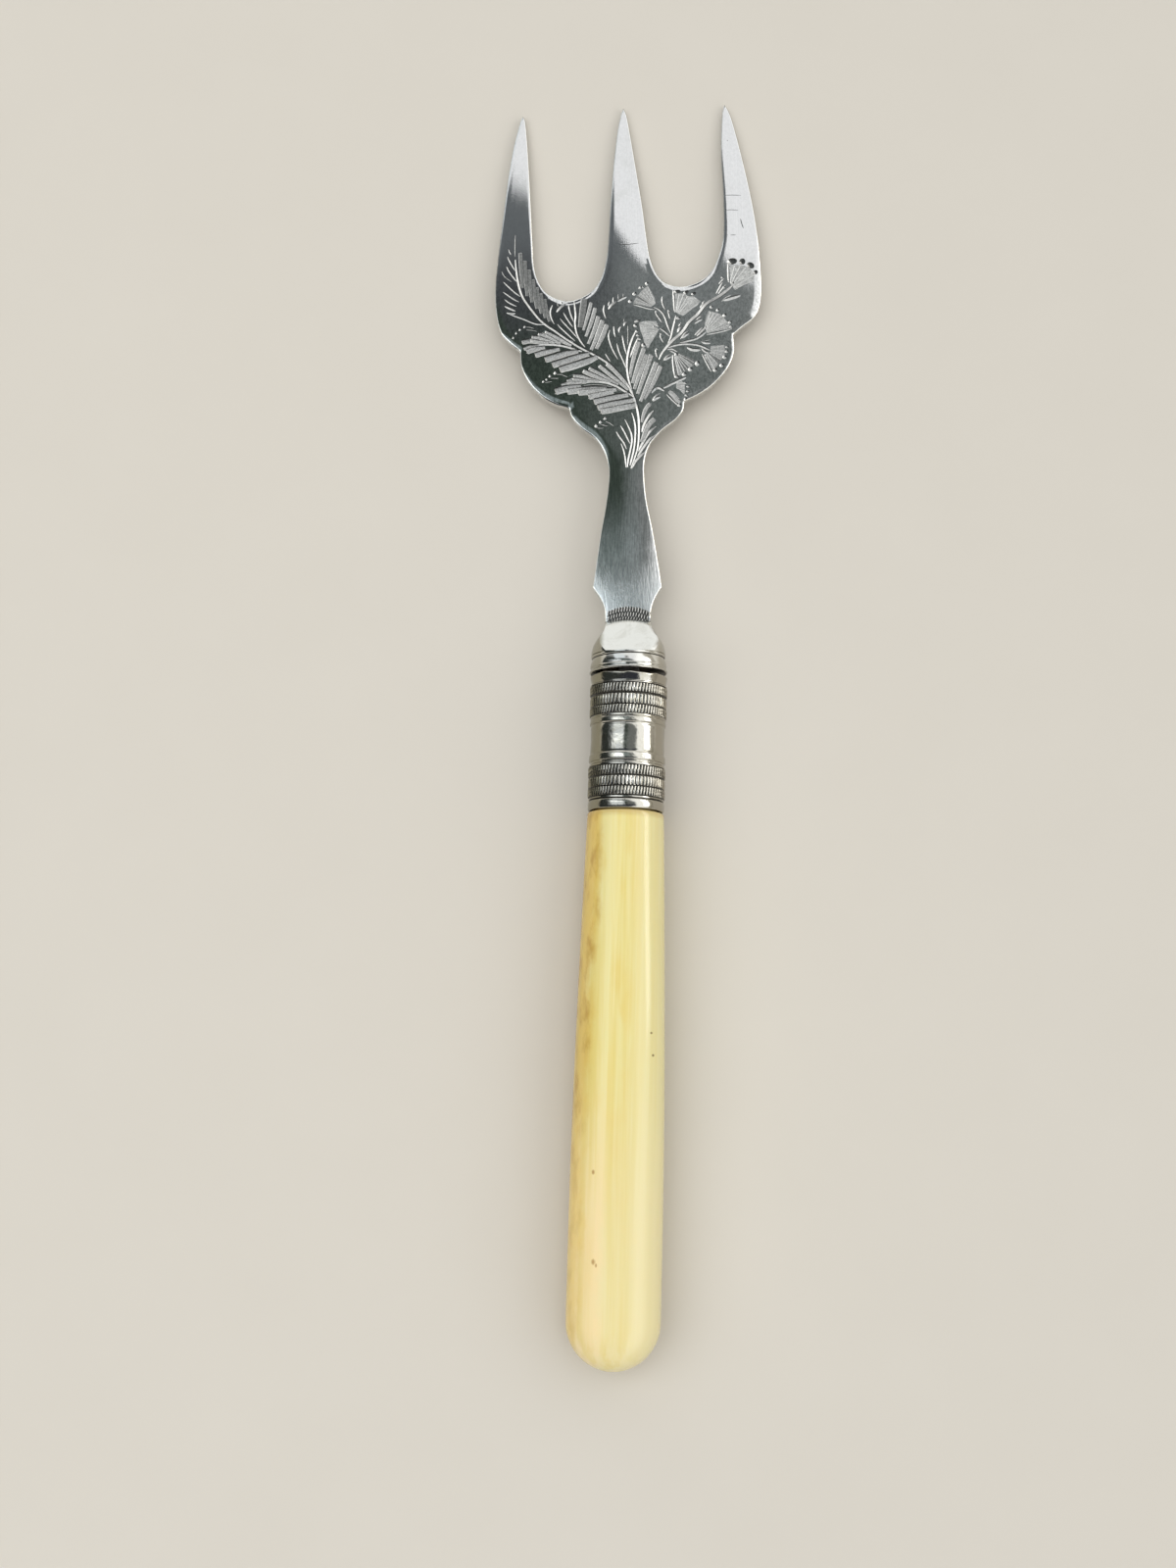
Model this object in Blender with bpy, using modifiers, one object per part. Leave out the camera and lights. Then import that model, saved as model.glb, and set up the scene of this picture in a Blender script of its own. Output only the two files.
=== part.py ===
"""Bread fork: flat three-tine blade, bolster, ferrule and cemented bone handle.

Lengths below are in millimetres and are scaled to metres when meshes are made.
Local frame: the bolster seat is the working origin, +Y runs to the tines,
+X is to the right seen from above, +Z is up from the table the fork lies on.
"""

import math

import bmesh
import bpy
from mathutils import Matrix

MM = 0.001

# ---------------------------------------------------------------- dimensions
AXIS_Z = 6.4  # height of the bolster and handle axis over the table
GAP = 0.3  # clearance kept between neighbouring pieces

# blade plate
NECK_T = 1.7  # plate thickness at the neck
HEAD_T = 1.6  # over the scalloped body
TIP_T = 1.1  # at the tine points
BEND_START, BEND_END = 8.0, 14.0  # the neck bends down out of the bolster here
BLADE_SLOPE = 0.0655  # and runs on straight, so that the tine points meet the table
TONGUE_HALF, TONGUE_END = 2.9, 3.1  # flat tongue soldered into the bolster
NECK_SHOULDER = 8.1

# bolster
NOSE_Y = 7.8
BOLSTER_BACK = -0.65
SOCKET_HALF, SOCKET_END = 2.15, 2.3  # square seat of the tang

# handle side, which sits a little askew to the blade
HANDLE_TURN = math.radians(-1.96)
HANDLE_SHIFT = 0.12
FERRULE_FRONT, FERRULE_BACK, FERRULE_BORE = -1.6, -23.0, 5.35
SPIGOT_R, SPIGOT_FRONT = 5.0, -6.0
SHOULDER_Y = -23.3
BORE_R, BORE_END = 3.8, -65.0
BUTT_START, BUTT_LONG = -101.5, 7.4  # elliptical rounding of the butt
TANG_WIDE, TANG_NARROW, TANG_FRONT, TANG_END = 3.4, 2.2, 1.9, -60.0

# Blade outline, one run per edge between corners, right side first (x, y).
NECK_SIDE_R = [(3.65, 8.1), (3.8, 10.0), (4.4, 11.7), (5.55, 13.7)]
NECK_R = [(5.55, 13.7), (4.9, 18.3), (4.15, 23.3), (3.25, 28.3), (2.95, 32.0),
          (3.0, 34.9), (3.8, 37.6), (5.8, 40.2), (8.25, 42.2), (9.45, 43.8), (9.7, 45.4)]
LOBE_R = [(9.7, 45.4), (12.3, 46.7), (14.8, 48.6), (16.95, 51.2), (18.05, 54.0), (18.0, 57.1)]
OUTER_R = [(18.0, 57.1), (19.7, 58.6), (21.65, 60.3), (22.7, 63.1), (22.9, 68.3),
           (22.35, 76.7), (21.3, 84.0), (19.8, 91.7), (18.65, 96.7), (17.95, 98.6), (17.55, 99.3)]
INNER_R = [(17.55, 99.3), (17.25, 98.6), (16.95, 96.2), (16.7, 90.4), (16.9, 82.5), (16.8, 75.6),
           (16.15, 72.1), (14.8, 68.8), (12.8, 66.9), (9.85, 65.9), (7.15, 66.4), (5.5, 68.1),
           (4.5, 70.8), (4.0, 73.9), (3.25, 80.6), (2.25, 87.8), (1.3, 94.4), (0.75, 97.6), (0.25, 98.8)]
INNER_L = [(0.25, 98.8), (-0.15, 97.6), (-0.8, 94.3), (-1.55, 87.9), (-2.15, 80.7), (-2.55, 74.1),
           (-2.95, 70.7), (-3.85, 67.3), (-5.6, 64.9), (-9.1, 63.4), (-12.25, 64.3), (-14.05, 66.4),
           (-15.0, 69.7), (-15.3, 75.1), (-15.6, 82.5), (-15.95, 89.8), (-16.25, 94.4), (-16.5, 96.6),
           (-16.8, 97.4)]
OUTER_L = [(-16.8, 97.4), (-17.2, 96.6), (-17.65, 94.9), (-18.4, 91.7), (-19.3, 86.1), (-20.15, 79.0),
           (-20.95, 71.8), (-21.45, 65.7), (-21.3, 61.1), (-20.5, 57.7), (-19.1, 55.9), (-17.35, 54.4)]
LOBE_L = [(-17.35, 54.4), (-17.05, 51.5), (-15.65, 48.5), (-13.55, 46.3), (-11.4, 45.0), (-9.3, 44.3)]
NECK_L = [(-9.3, 44.3), (-8.7, 42.5), (-7.2, 40.8), (-4.9, 38.9), (-3.5, 36.5), (-2.9, 34.2),
          (-2.85, 31.7), (-3.4, 27.3), (-4.2, 22.9), (-4.9, 18.3), (-5.6, 13.6)]
NECK_SIDE_L = [(-5.6, 13.6), (-4.4, 11.7), (-3.75, 10.0), (-3.6, 8.1)]
RUNS = [NECK_SIDE_R, NECK_R, LOBE_R, OUTER_R, INNER_R, INNER_L, OUTER_L, LOBE_L, NECK_L, NECK_SIDE_L]
STEP = 1.3  # spacing of outline points along each run

# Bolster sections from nose to back: (y, half width, half height, squareness)
BOLSTER = [(7.8, 3.70, 1.35, 7.0), (6.6, 3.76, 2.2, 6.0), (5.9, 4.15, 2.75, 4.6), (5.3, 4.62, 3.2, 3.8),
           (4.55, 5.2, 3.8, 3.1), (3.75, 5.68, 4.4, 2.6), (2.9, 5.9, 5.0, 2.25), (2.1, 5.95, 5.55, 2.08),
           (1.8, 5.75, 5.7, 2.0), (1.5, 6.0, 6.0, 2.0), (0.85, 6.1, 6.1, 2.0), (0.2, 5.98, 5.98, 2.0),
           (-0.05, 5.75, 5.75, 2.0), (-0.2, 5.75, 5.75, 2.0), (-0.3, 6.2, 6.2, 2.0),
           (-0.58, 6.25, 6.25, 2.0), (BOLSTER_BACK, 6.15, 6.15, 2.0)]

# Ferrule outer profile from its mouth to its rim: (y, radius)
FERRULE = [(FERRULE_FRONT, 5.95), (-1.8, 6.3), (-2.2, 6.38), (-2.6, 6.3), (-2.76, 6.0), (-2.9, 6.15),
           (-3.05, 5.98), (-3.15, 6.16), (-4.55, 6.16), (-4.7, 5.95), (-4.86, 6.08), (-6.42, 6.08),
           (-6.55, 5.95), (-6.66, 6.13), (-7.9, 6.13), (-8.1, 6.05), (-8.35, 5.9), (-8.5, 6.02),
           (-8.85, 6.1), (-9.2, 6.02), (-9.45, 5.8), (-9.7, 5.86), (-13.85, 5.86), (-14.0, 5.78),
           (-14.2, 6.0), (-14.7, 6.1), (-15.2, 6.0), (-15.5, 5.75), (-15.75, 5.9), (-15.9, 6.0),
           (-16.1, 5.92), (-16.22, 6.1), (-17.66, 6.1), (-17.8, 5.92), (-17.92, 6.07), (-19.4, 6.07),
           (-19.5, 5.92), (-19.6, 6.1), (-20.85, 6.1), (-21.0, 5.9), (-21.2, 6.0), (-21.4, 5.86),
           (-21.55, 6.05), (-22.8, 6.05), (FERRULE_BACK, 5.95)]
FERRULE_STEPS = 48


# ------------------------------------------------------------------ helpers
def material(name, colour, roughness, metallic):
    mat = bpy.data.materials.new(name)
    mat.use_nodes = True
    shader = mat.node_tree.nodes["Principled BSDF"]
    shader.inputs["Base Color"].default_value = (*colour, 1.0)
    shader.inputs["Roughness"].default_value = roughness
    shader.inputs["Metallic"].default_value = metallic
    return mat


def empty(name, parent=None, location=(0, 0, 0), turn=0.0):
    obj = bpy.data.objects.new(name, None)
    obj.empty_display_size = 0.01
    obj.location = [c * MM for c in location]
    obj.rotation_euler = (0, 0, turn)
    obj.parent = parent
    PARTS.objects.link(obj)
    return obj


def add_object(name, mesh, parent, collection=None, mat=None):
    obj = bpy.data.objects.new(name, mesh)
    obj.parent = parent
    (collection or PARTS).objects.link(obj)
    if mat:
        mesh.materials.clear()
        mesh.materials.append(mat)
    return obj


def smooth(mesh, angle=30):
    mesh.shade_smooth()
    mesh.set_sharp_from_angle(angle=math.radians(angle))


def spline(points, step):
    """Points about one step apart on a Catmull-Rom curve through the given points."""
    first = (2 * points[0][0] - points[1][0], 2 * points[0][1] - points[1][1])
    last = (2 * points[-1][0] - points[-2][0], 2 * points[-1][1] - points[-2][1])
    full = [first, *points, last]
    out = []
    for a, b, c, d in zip(full, full[1:], full[2:], full[3:]):
        count = max(1, round(math.dist(b, c) / step))
        for i in range(count):
            t = i / count
            out.append(tuple(
                0.5 * (2 * b[k] + (c[k] - a[k]) * t + (2 * a[k] - 5 * b[k] + 4 * c[k] - d[k]) * t * t
                       + (3 * b[k] - a[k] - 3 * c[k] + d[k]) * t ** 3) for k in (0, 1)))
    return out + [points[-1]]


def ease(a, b, v):
    t = min(1.0, max(0.0, (v - a) / (b - a)))
    return t * t * (3 - 2 * t)


def blade_outline():
    points = []
    for run in RUNS:
        points += spline(run, STEP)[:-1]
    points += [RUNS[-1][-1], (-TONGUE_HALF, NECK_SHOULDER), (-TONGUE_HALF, TONGUE_END),
               (TONGUE_HALF, TONGUE_END), (TONGUE_HALF, NECK_SHOULDER)]
    return points


def plate_z(y, side):
    """Height of the plate's upper (side 1) or lower (side -1) face over the axis plane."""
    thick = NECK_T + (HEAD_T - NECK_T) * ease(BEND_START, 37.0, y)
    thick += (TIP_T - HEAD_T) * ease(68.0, 99.0, y)
    bent = min(max(y - BEND_START, 0.0), BEND_END - BEND_START)
    drop = BLADE_SLOPE * (bent * bent / (2 * (BEND_END - BEND_START)) + max(0.0, y - BEND_END))
    return side * thick / 2 - drop


def section(half_w, half_h, power, count):
    """A superellipse in X and Z, counter-clockwise seen from +Y looking to -Y."""
    ring = []
    for i in range(count):
        angle = 2 * math.pi * (i + 0.5) / count
        c, s = math.cos(angle), math.sin(angle)
        ring.append((half_w * math.copysign(abs(c) ** (2 / power), c),
                     half_h * math.copysign(abs(s) ** (2 / power), s)))
    return ring


def loft(name, rings):
    """Closed skin over equal rings of (x, y, z) in millimetres, capped at both ends."""
    bm = bmesh.new()
    rows = [[bm.verts.new([c * MM for c in p]) for p in ring] for ring in rings]
    n = len(rows[0])
    for a, b in zip(rows, rows[1:]):
        for i in range(n):
            bm.faces.new((a[i], a[(i + 1) % n], b[(i + 1) % n], b[i]))
    bm.faces.new(list(reversed(rows[0])))
    bm.faces.new(rows[-1])
    bmesh.ops.recalc_face_normals(bm, faces=bm.faces)
    mesh = bpy.data.meshes.new(name)
    bm.to_mesh(mesh)
    bm.free()
    return mesh


def turned(name, profile, parent, steps, collection=None, mat=None):
    """A closed ring or solid of revolution about Y from (y, radius) points, outer side first."""
    mesh = bpy.data.meshes.new(name)
    bm = bmesh.new()
    # half a step round, so that a facet and not an edge lies lowest
    c, s = math.cos(math.pi / steps), math.sin(math.pi / steps)
    verts = [bm.verts.new((r * c * MM, r * s * MM, y * MM)) for y, r in profile]
    for a, b in zip(verts, verts[1:]):
        bm.edges.new((a, b))
    if all(r > 0 for _, r in profile):
        bm.edges.new((verts[-1], verts[0]))
    bm.to_mesh(mesh)
    bm.free()
    obj = add_object(name, mesh, parent, collection, mat)
    obj.rotation_euler = (math.radians(-90), 0, 0)
    screw = obj.modifiers.new("Screw", "SCREW")
    screw.axis = "Z"
    screw.steps = screw.render_steps = steps
    screw.use_merge_vertices = True
    screw.merge_threshold = 1e-6
    screw.use_smooth_shade = True
    return obj


def box_mesh(name, low, high):
    bm = bmesh.new()
    bmesh.ops.create_cube(bm, size=1.0)
    size = [(b - a) * MM for a, b in zip(low, high)]
    mid = [(a + b) / 2 * MM for a, b in zip(low, high)]
    bmesh.ops.transform(bm, matrix=Matrix.Translation(mid) @ Matrix.Diagonal((*size, 1.0)), verts=bm.verts)
    mesh = bpy.data.meshes.new(name)
    bm.to_mesh(mesh)
    bm.free()
    return mesh


def square_taper(name, wide, narrow, front, end):
    """A four-sided tapered rod along Y, wide at the front."""
    bm = bmesh.new()
    bmesh.ops.create_cone(bm, cap_ends=True, cap_tris=False, segments=4, radius1=wide / math.sqrt(2) * MM,
                          radius2=narrow / math.sqrt(2) * MM, depth=(front - end) * MM)
    place = (Matrix.Translation((0, (front + end) / 2 * MM, 0)) @ Matrix.Rotation(math.radians(90), 4, "X")
             @ Matrix.Rotation(math.radians(45), 4, "Z"))
    bmesh.ops.transform(bm, matrix=place, verts=bm.verts)
    mesh = bpy.data.meshes.new(name)
    bm.to_mesh(mesh)
    bm.free()
    return mesh


def rod_mesh(name, radius, front, end, sides):
    bm = bmesh.new()
    bmesh.ops.create_cone(bm, cap_ends=True, segments=sides, radius1=radius * MM, radius2=radius * MM,
                          depth=(front - end) * MM)
    place = Matrix.Translation((0, (front + end) / 2 * MM, 0)) @ Matrix.Rotation(math.radians(90), 4, "X")
    bmesh.ops.transform(bm, matrix=place, verts=bm.verts)
    mesh = bpy.data.meshes.new(name)
    bm.to_mesh(mesh)
    bm.free()
    return mesh


def boolean(obj, cutter, operation):
    cutter.hide_render = True
    cutter.display_type = "WIRE"
    mod = obj.modifiers.new(operation.title() + "_" + cutter.name, "BOOLEAN")
    mod.operation = operation
    mod.object = cutter


# --------------------------------------------------------------------- pieces
def make_blade(parent, mat):
    curve = bpy.data.curves.new("fork_blade_outline", "CURVE")
    curve.dimensions = "2D"
    curve.fill_mode = "BOTH"
    curve.extrude = 0.5 * MM
    outline = blade_outline()
    spl = curve.splines.new("POLY")
    spl.points.add(len(outline) - 1)
    for point, (x, y) in zip(spl.points, outline):
        point.co = (x * MM, y * MM, 0, 1)
    spl.use_cyclic_u = True
    guide = bpy.data.objects.new("fork_blade_outline", curve)
    PARTS.objects.link(guide)
    graph = bpy.context.evaluated_depsgraph_get()
    mesh = bpy.data.meshes.new_from_object(guide.evaluated_get(graph))
    bpy.data.objects.remove(guide)

    bm = bmesh.new()
    bm.from_mesh(mesh)
    bmesh.ops.remove_doubles(bm, verts=bm.verts, dist=1e-6)
    # bands across the plate, so that it follows the bend of the neck and the taper of the tines
    cuts = [9 + i for i in range(6)] + [20, 26, 32] + [68 + 4 * i for i in range(8)]
    for y in cuts:
        bmesh.ops.bisect_plane(bm, geom=bm.verts[:] + bm.edges[:] + bm.faces[:], dist=1e-7,
                               plane_co=(0, y * MM, 0), plane_no=(0, 1, 0))
    for v in bm.verts:
        v.co.z = plate_z(v.co.y / MM, 1 if v.co.z > 0 else -1) * MM
    bmesh.ops.triangulate(bm, faces=bm.faces[:])
    bmesh.ops.recalc_face_normals(bm, faces=bm.faces)
    bm.to_mesh(mesh)
    bm.free()
    mesh.name = "fork_blade"
    smooth(mesh, 25)
    return add_object("fork_blade", mesh, parent, mat=mat)


def make_bolster(parent, mat):
    rings = [[(x, y, z) for x, z in section(w, h, power, 48)] for y, w, h, power in BOLSTER]
    mesh = loft("bolster", rings)
    smooth(mesh, 40)
    obj = add_object("bolster", mesh, parent, mat=mat)
    slot = box_mesh("slot", (-TONGUE_HALF - GAP, TONGUE_END - GAP, -NECK_T / 2 - GAP),
                    (TONGUE_HALF + GAP, NOSE_Y + 1, NECK_T / 2 + GAP))
    boolean(obj, add_object("bolster_slot", slot, parent, CUTTERS), "DIFFERENCE")
    socket = box_mesh("socket", (-SOCKET_HALF, BOLSTER_BACK - 1, -SOCKET_HALF),
                      (SOCKET_HALF, SOCKET_END, SOCKET_HALF))
    boolean(obj, add_object("bolster_socket", socket, parent, CUTTERS), "DIFFERENCE")
    return obj


def make_ferrule(parent, mat):
    inner = [(FERRULE_BACK, FERRULE_BORE), (FERRULE_FRONT, FERRULE_BORE)]
    return turned("ferrule", FERRULE + inner, parent, FERRULE_STEPS, mat=mat)


def handle_size(y):
    """Half width, top and bottom of the handle at y, before the butt is rounded off."""
    half = 6.08 + (7.31 - 6.08) * math.sin(math.pi / 2 * min(1.0, (SHOULDER_Y - y) / 68.0))
    top = 6.08 + 0.1 * ease(SHOULDER_Y, -60.0, y) - 0.4 * ease(-60.0, -100.0, y)
    bottom = -6.08 - 0.57 * ease(SHOULDER_Y, -45.0, y)
    return half, top, bottom


def make_handle(parent, mat):
    rings = []
    body = [SHOULDER_Y - 6.0 * i for i in range(13)] + [-98.5]
    butt = [BUTT_START - BUTT_LONG * t for t in (0.0, 0.2, 0.36, 0.5, 0.62, 0.72, 0.81, 0.88, 0.94, 0.975, 0.995)]
    for y in body + butt:
        half, top, bottom = handle_size(y)
        t = max(0.0, (BUTT_START - y) / BUTT_LONG)
        round_w = (1 - t ** 2.0) ** 0.5
        round_h = (1 - t ** 2.6) ** (1 / 2.6)
        mid, tall = (top + bottom) / 2, (top - bottom) / 2
        power = 2.0 + 0.25 * ease(SHOULDER_Y, -60.0, y)
        # the underside is dressed flat where it bears on the table
        rings.append([(x, y, max(mid + z, -AXIS_Z)) for x, z in section(half * round_w, tall * round_h, power, 40)])
    mesh = loft("handle", rings)
    smooth(mesh, 40)
    obj = add_object("handle", mesh, parent, mat=mat)
    spigot = rod_mesh("spigot", SPIGOT_R, SPIGOT_FRONT, SHOULDER_Y - 3.0, 40)
    boolean(obj, add_object("handle_spigot", spigot, parent, CUTTERS), "UNION")
    bore = rod_mesh("bore", BORE_R, SPIGOT_FRONT + 2.0, BORE_END, 32)
    boolean(obj, add_object("handle_bore", bore, parent, CUTTERS), "DIFFERENCE")
    return obj


def make_cement(parent, mat):
    profile = [(-2.2, 0.0), (-2.2, SPIGOT_R), (SPIGOT_FRONT + GAP, SPIGOT_R), (SPIGOT_FRONT + GAP, BORE_R - GAP),
               (BORE_END + GAP, BORE_R - GAP), (BORE_END + GAP, 0.0)]
    obj = turned("cutlers_cement", profile, parent, 32, mat=mat)
    seat = square_taper("tang_seat", TANG_WIDE + 2 * GAP, TANG_NARROW + 2 * GAP, TANG_FRONT + GAP, TANG_END - GAP)
    boolean(obj, add_object("cement_tang_seat", seat, parent, CUTTERS), "DIFFERENCE")
    return obj


def make_tang(parent, mat):
    mesh = square_taper("tang", TANG_WIDE, TANG_NARROW, TANG_FRONT, TANG_END)
    obj = add_object("tang", mesh, parent, mat=mat)
    edge = obj.modifiers.new("Bevel", "BEVEL")
    edge.width = 0.25 * MM
    edge.segments = 2
    return obj


# ---------------------------------------------------------------------- build
for old in list(bpy.data.objects):
    bpy.data.objects.remove(old)

PARTS = bpy.data.collections.new("bread_fork")
CUTTERS = bpy.data.collections.new("bread_fork_cutters")
bpy.context.scene.collection.children.link(PARTS)
bpy.context.scene.collection.children.link(CUTTERS)

SILVER = (0.78, 0.78, 0.76)
root = empty("fork_origin")
blade_axis = empty("blade_axis", root, (0, 0, AXIS_Z))
handle_axis = empty("handle_axis", root, (HANDLE_SHIFT, 0, AXIS_Z), HANDLE_TURN)

pieces = [
    make_blade(blade_axis, material("plated_blade", SILVER, 0.22, 1.0)),
    make_bolster(blade_axis, material("plated_bolster", (0.80, 0.79, 0.75), 0.16, 1.0)),
    make_ferrule(handle_axis, material("plated_ferrule", (0.76, 0.74, 0.69), 0.2, 1.0)),
    make_tang(handle_axis, material("tang_steel", (0.30, 0.29, 0.28), 0.55, 1.0)),
    make_cement(handle_axis, material("cement_resin", (0.24, 0.16, 0.10), 0.8, 0.0)),
    make_handle(handle_axis, material("handle_bone", (0.80, 0.69, 0.47), 0.28, 0.0)),
]

# the origin is put under the middle of the fork's box, on the table
bpy.context.view_layer.update()
graph = bpy.context.evaluated_depsgraph_get()
corners = []
for piece in pieces:
    solid = piece.evaluated_get(graph)
    corners += [solid.matrix_world @ v.co for v in solid.data.vertices]
root.location.x = -(min(c.x for c in corners) + max(c.x for c in corners)) / 2
root.location.y = -(min(c.y for c in corners) + max(c.y for c in corners)) / 2
root.location.z = -min(c.z for c in corners)
bpy.context.view_layer.update()
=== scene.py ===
import math

import bmesh
import bpy
import numpy as np
from mathutils import Euler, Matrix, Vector
from mathutils.geometry import delaunay_2d_cdt


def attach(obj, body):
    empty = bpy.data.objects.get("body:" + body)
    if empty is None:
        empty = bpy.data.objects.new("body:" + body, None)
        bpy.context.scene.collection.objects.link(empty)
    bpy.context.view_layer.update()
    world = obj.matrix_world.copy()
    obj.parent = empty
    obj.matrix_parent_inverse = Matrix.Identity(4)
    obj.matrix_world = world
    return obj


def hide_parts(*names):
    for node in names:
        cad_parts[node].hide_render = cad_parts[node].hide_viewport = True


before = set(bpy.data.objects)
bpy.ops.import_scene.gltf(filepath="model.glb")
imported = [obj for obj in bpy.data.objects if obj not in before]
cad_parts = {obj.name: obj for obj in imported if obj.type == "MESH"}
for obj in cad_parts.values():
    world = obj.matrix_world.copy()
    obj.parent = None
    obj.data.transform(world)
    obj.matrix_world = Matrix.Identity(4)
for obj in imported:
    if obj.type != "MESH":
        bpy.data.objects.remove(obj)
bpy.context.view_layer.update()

# Looks of the bread fork. Lengths are in millimetres and are scaled to metres when a mesh is made.
# Blade frame: the bolster seat is the origin, +Y runs to the tines, +Z is up from the plate's middle plane.
# Handle frame: the same seat, shifted a little and turned with the handle.
MM = 0.001
SEAT = np.array((-0.7246, 4.7621, 6.4))
HANDLE_SEAT = np.array((-0.6046, 4.7621, 6.4))
HANDLE_TURN = math.radians(-1.96)

# camera: place, tilt and focal length (in pixels of a frame of 1200 x 1600)
FRAME_W, FRAME_H, FOCAL = 1200, 1600, 2013.0
CAM_AT = np.array((-7.665, -59.959, 316.48))
CAM_TURN = Euler((math.radians(8.5), 0.0, math.radians(-0.4)))
PX = 0.1572  # millimetres on the blade for one pixel of that frame


# ------------------------------------------------------------------ helpers
def ease(a, b, v):
    t = np.clip((np.asarray(v, float) - a) / (b - a), 0.0, 1.0)
    return t * t * (3 - 2 * t)


def spline(points, step):
    """Points about one step apart on a Catmull-Rom curve through the given points."""
    points = [tuple(p) for p in points]
    first = (2 * points[0][0] - points[1][0], 2 * points[0][1] - points[1][1])
    last = (2 * points[-1][0] - points[-2][0], 2 * points[-1][1] - points[-2][1])
    full = [first, *points, last]
    out = []
    for a, b, c, d in zip(full, full[1:], full[2:], full[3:]):
        count = max(1, round(math.dist(b, c) / step))
        for i in range(count):
            t = i / count
            out.append(tuple(
                0.5 * (2 * b[k] + (c[k] - a[k]) * t + (2 * a[k] - 5 * b[k] + 4 * c[k] - d[k]) * t * t
                       + (3 * b[k] - a[k] - 3 * c[k] + d[k]) * t ** 3) for k in (0, 1)))
    return out + [points[-1]]


def to_handle(points):
    """Handle-frame points to world, both in millimetres."""
    p = np.asarray(points, float)
    c, s = math.cos(HANDLE_TURN), math.sin(HANDLE_TURN)
    out = np.empty_like(p)
    out[:, 0] = c * p[:, 0] - s * p[:, 1] + HANDLE_SEAT[0]
    out[:, 1] = s * p[:, 0] + c * p[:, 1] + HANDLE_SEAT[1]
    out[:, 2] = p[:, 2] + HANDLE_SEAT[2]
    return out


def make_piece(name, points, faces, materials, slots=None, node=None, sharp=None):
    """A mesh object from world points in millimetres, riding on the body and standing for a node."""
    mesh = bpy.data.meshes.new(name)
    mesh.from_pydata([tuple(p) for p in np.asarray(points) * MM], [], [tuple(int(i) for i in f) for f in faces])
    for m in materials:
        mesh.materials.append(m)
    if slots is not None:
        mesh.polygons.foreach_set("material_index", np.asarray(slots, np.int32))
    mesh.update()
    mesh.shade_smooth()
    if sharp is not None:
        mesh.set_sharp_from_angle(angle=math.radians(sharp))
    obj = bpy.data.objects.new(name, mesh)
    bpy.context.scene.collection.objects.link(obj)
    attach(obj, "root")
    if node:
        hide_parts(node)
    return obj


def rings_to_faces(count, rows, base=0):
    faces = []
    for r in range(rows - 1):
        a, b = base + r * count, base + (r + 1) * count
        for i in range(count):
            j = (i + 1) % count
            faces.append((a + i, a + j, b + j, b + i))
    return faces


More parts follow.
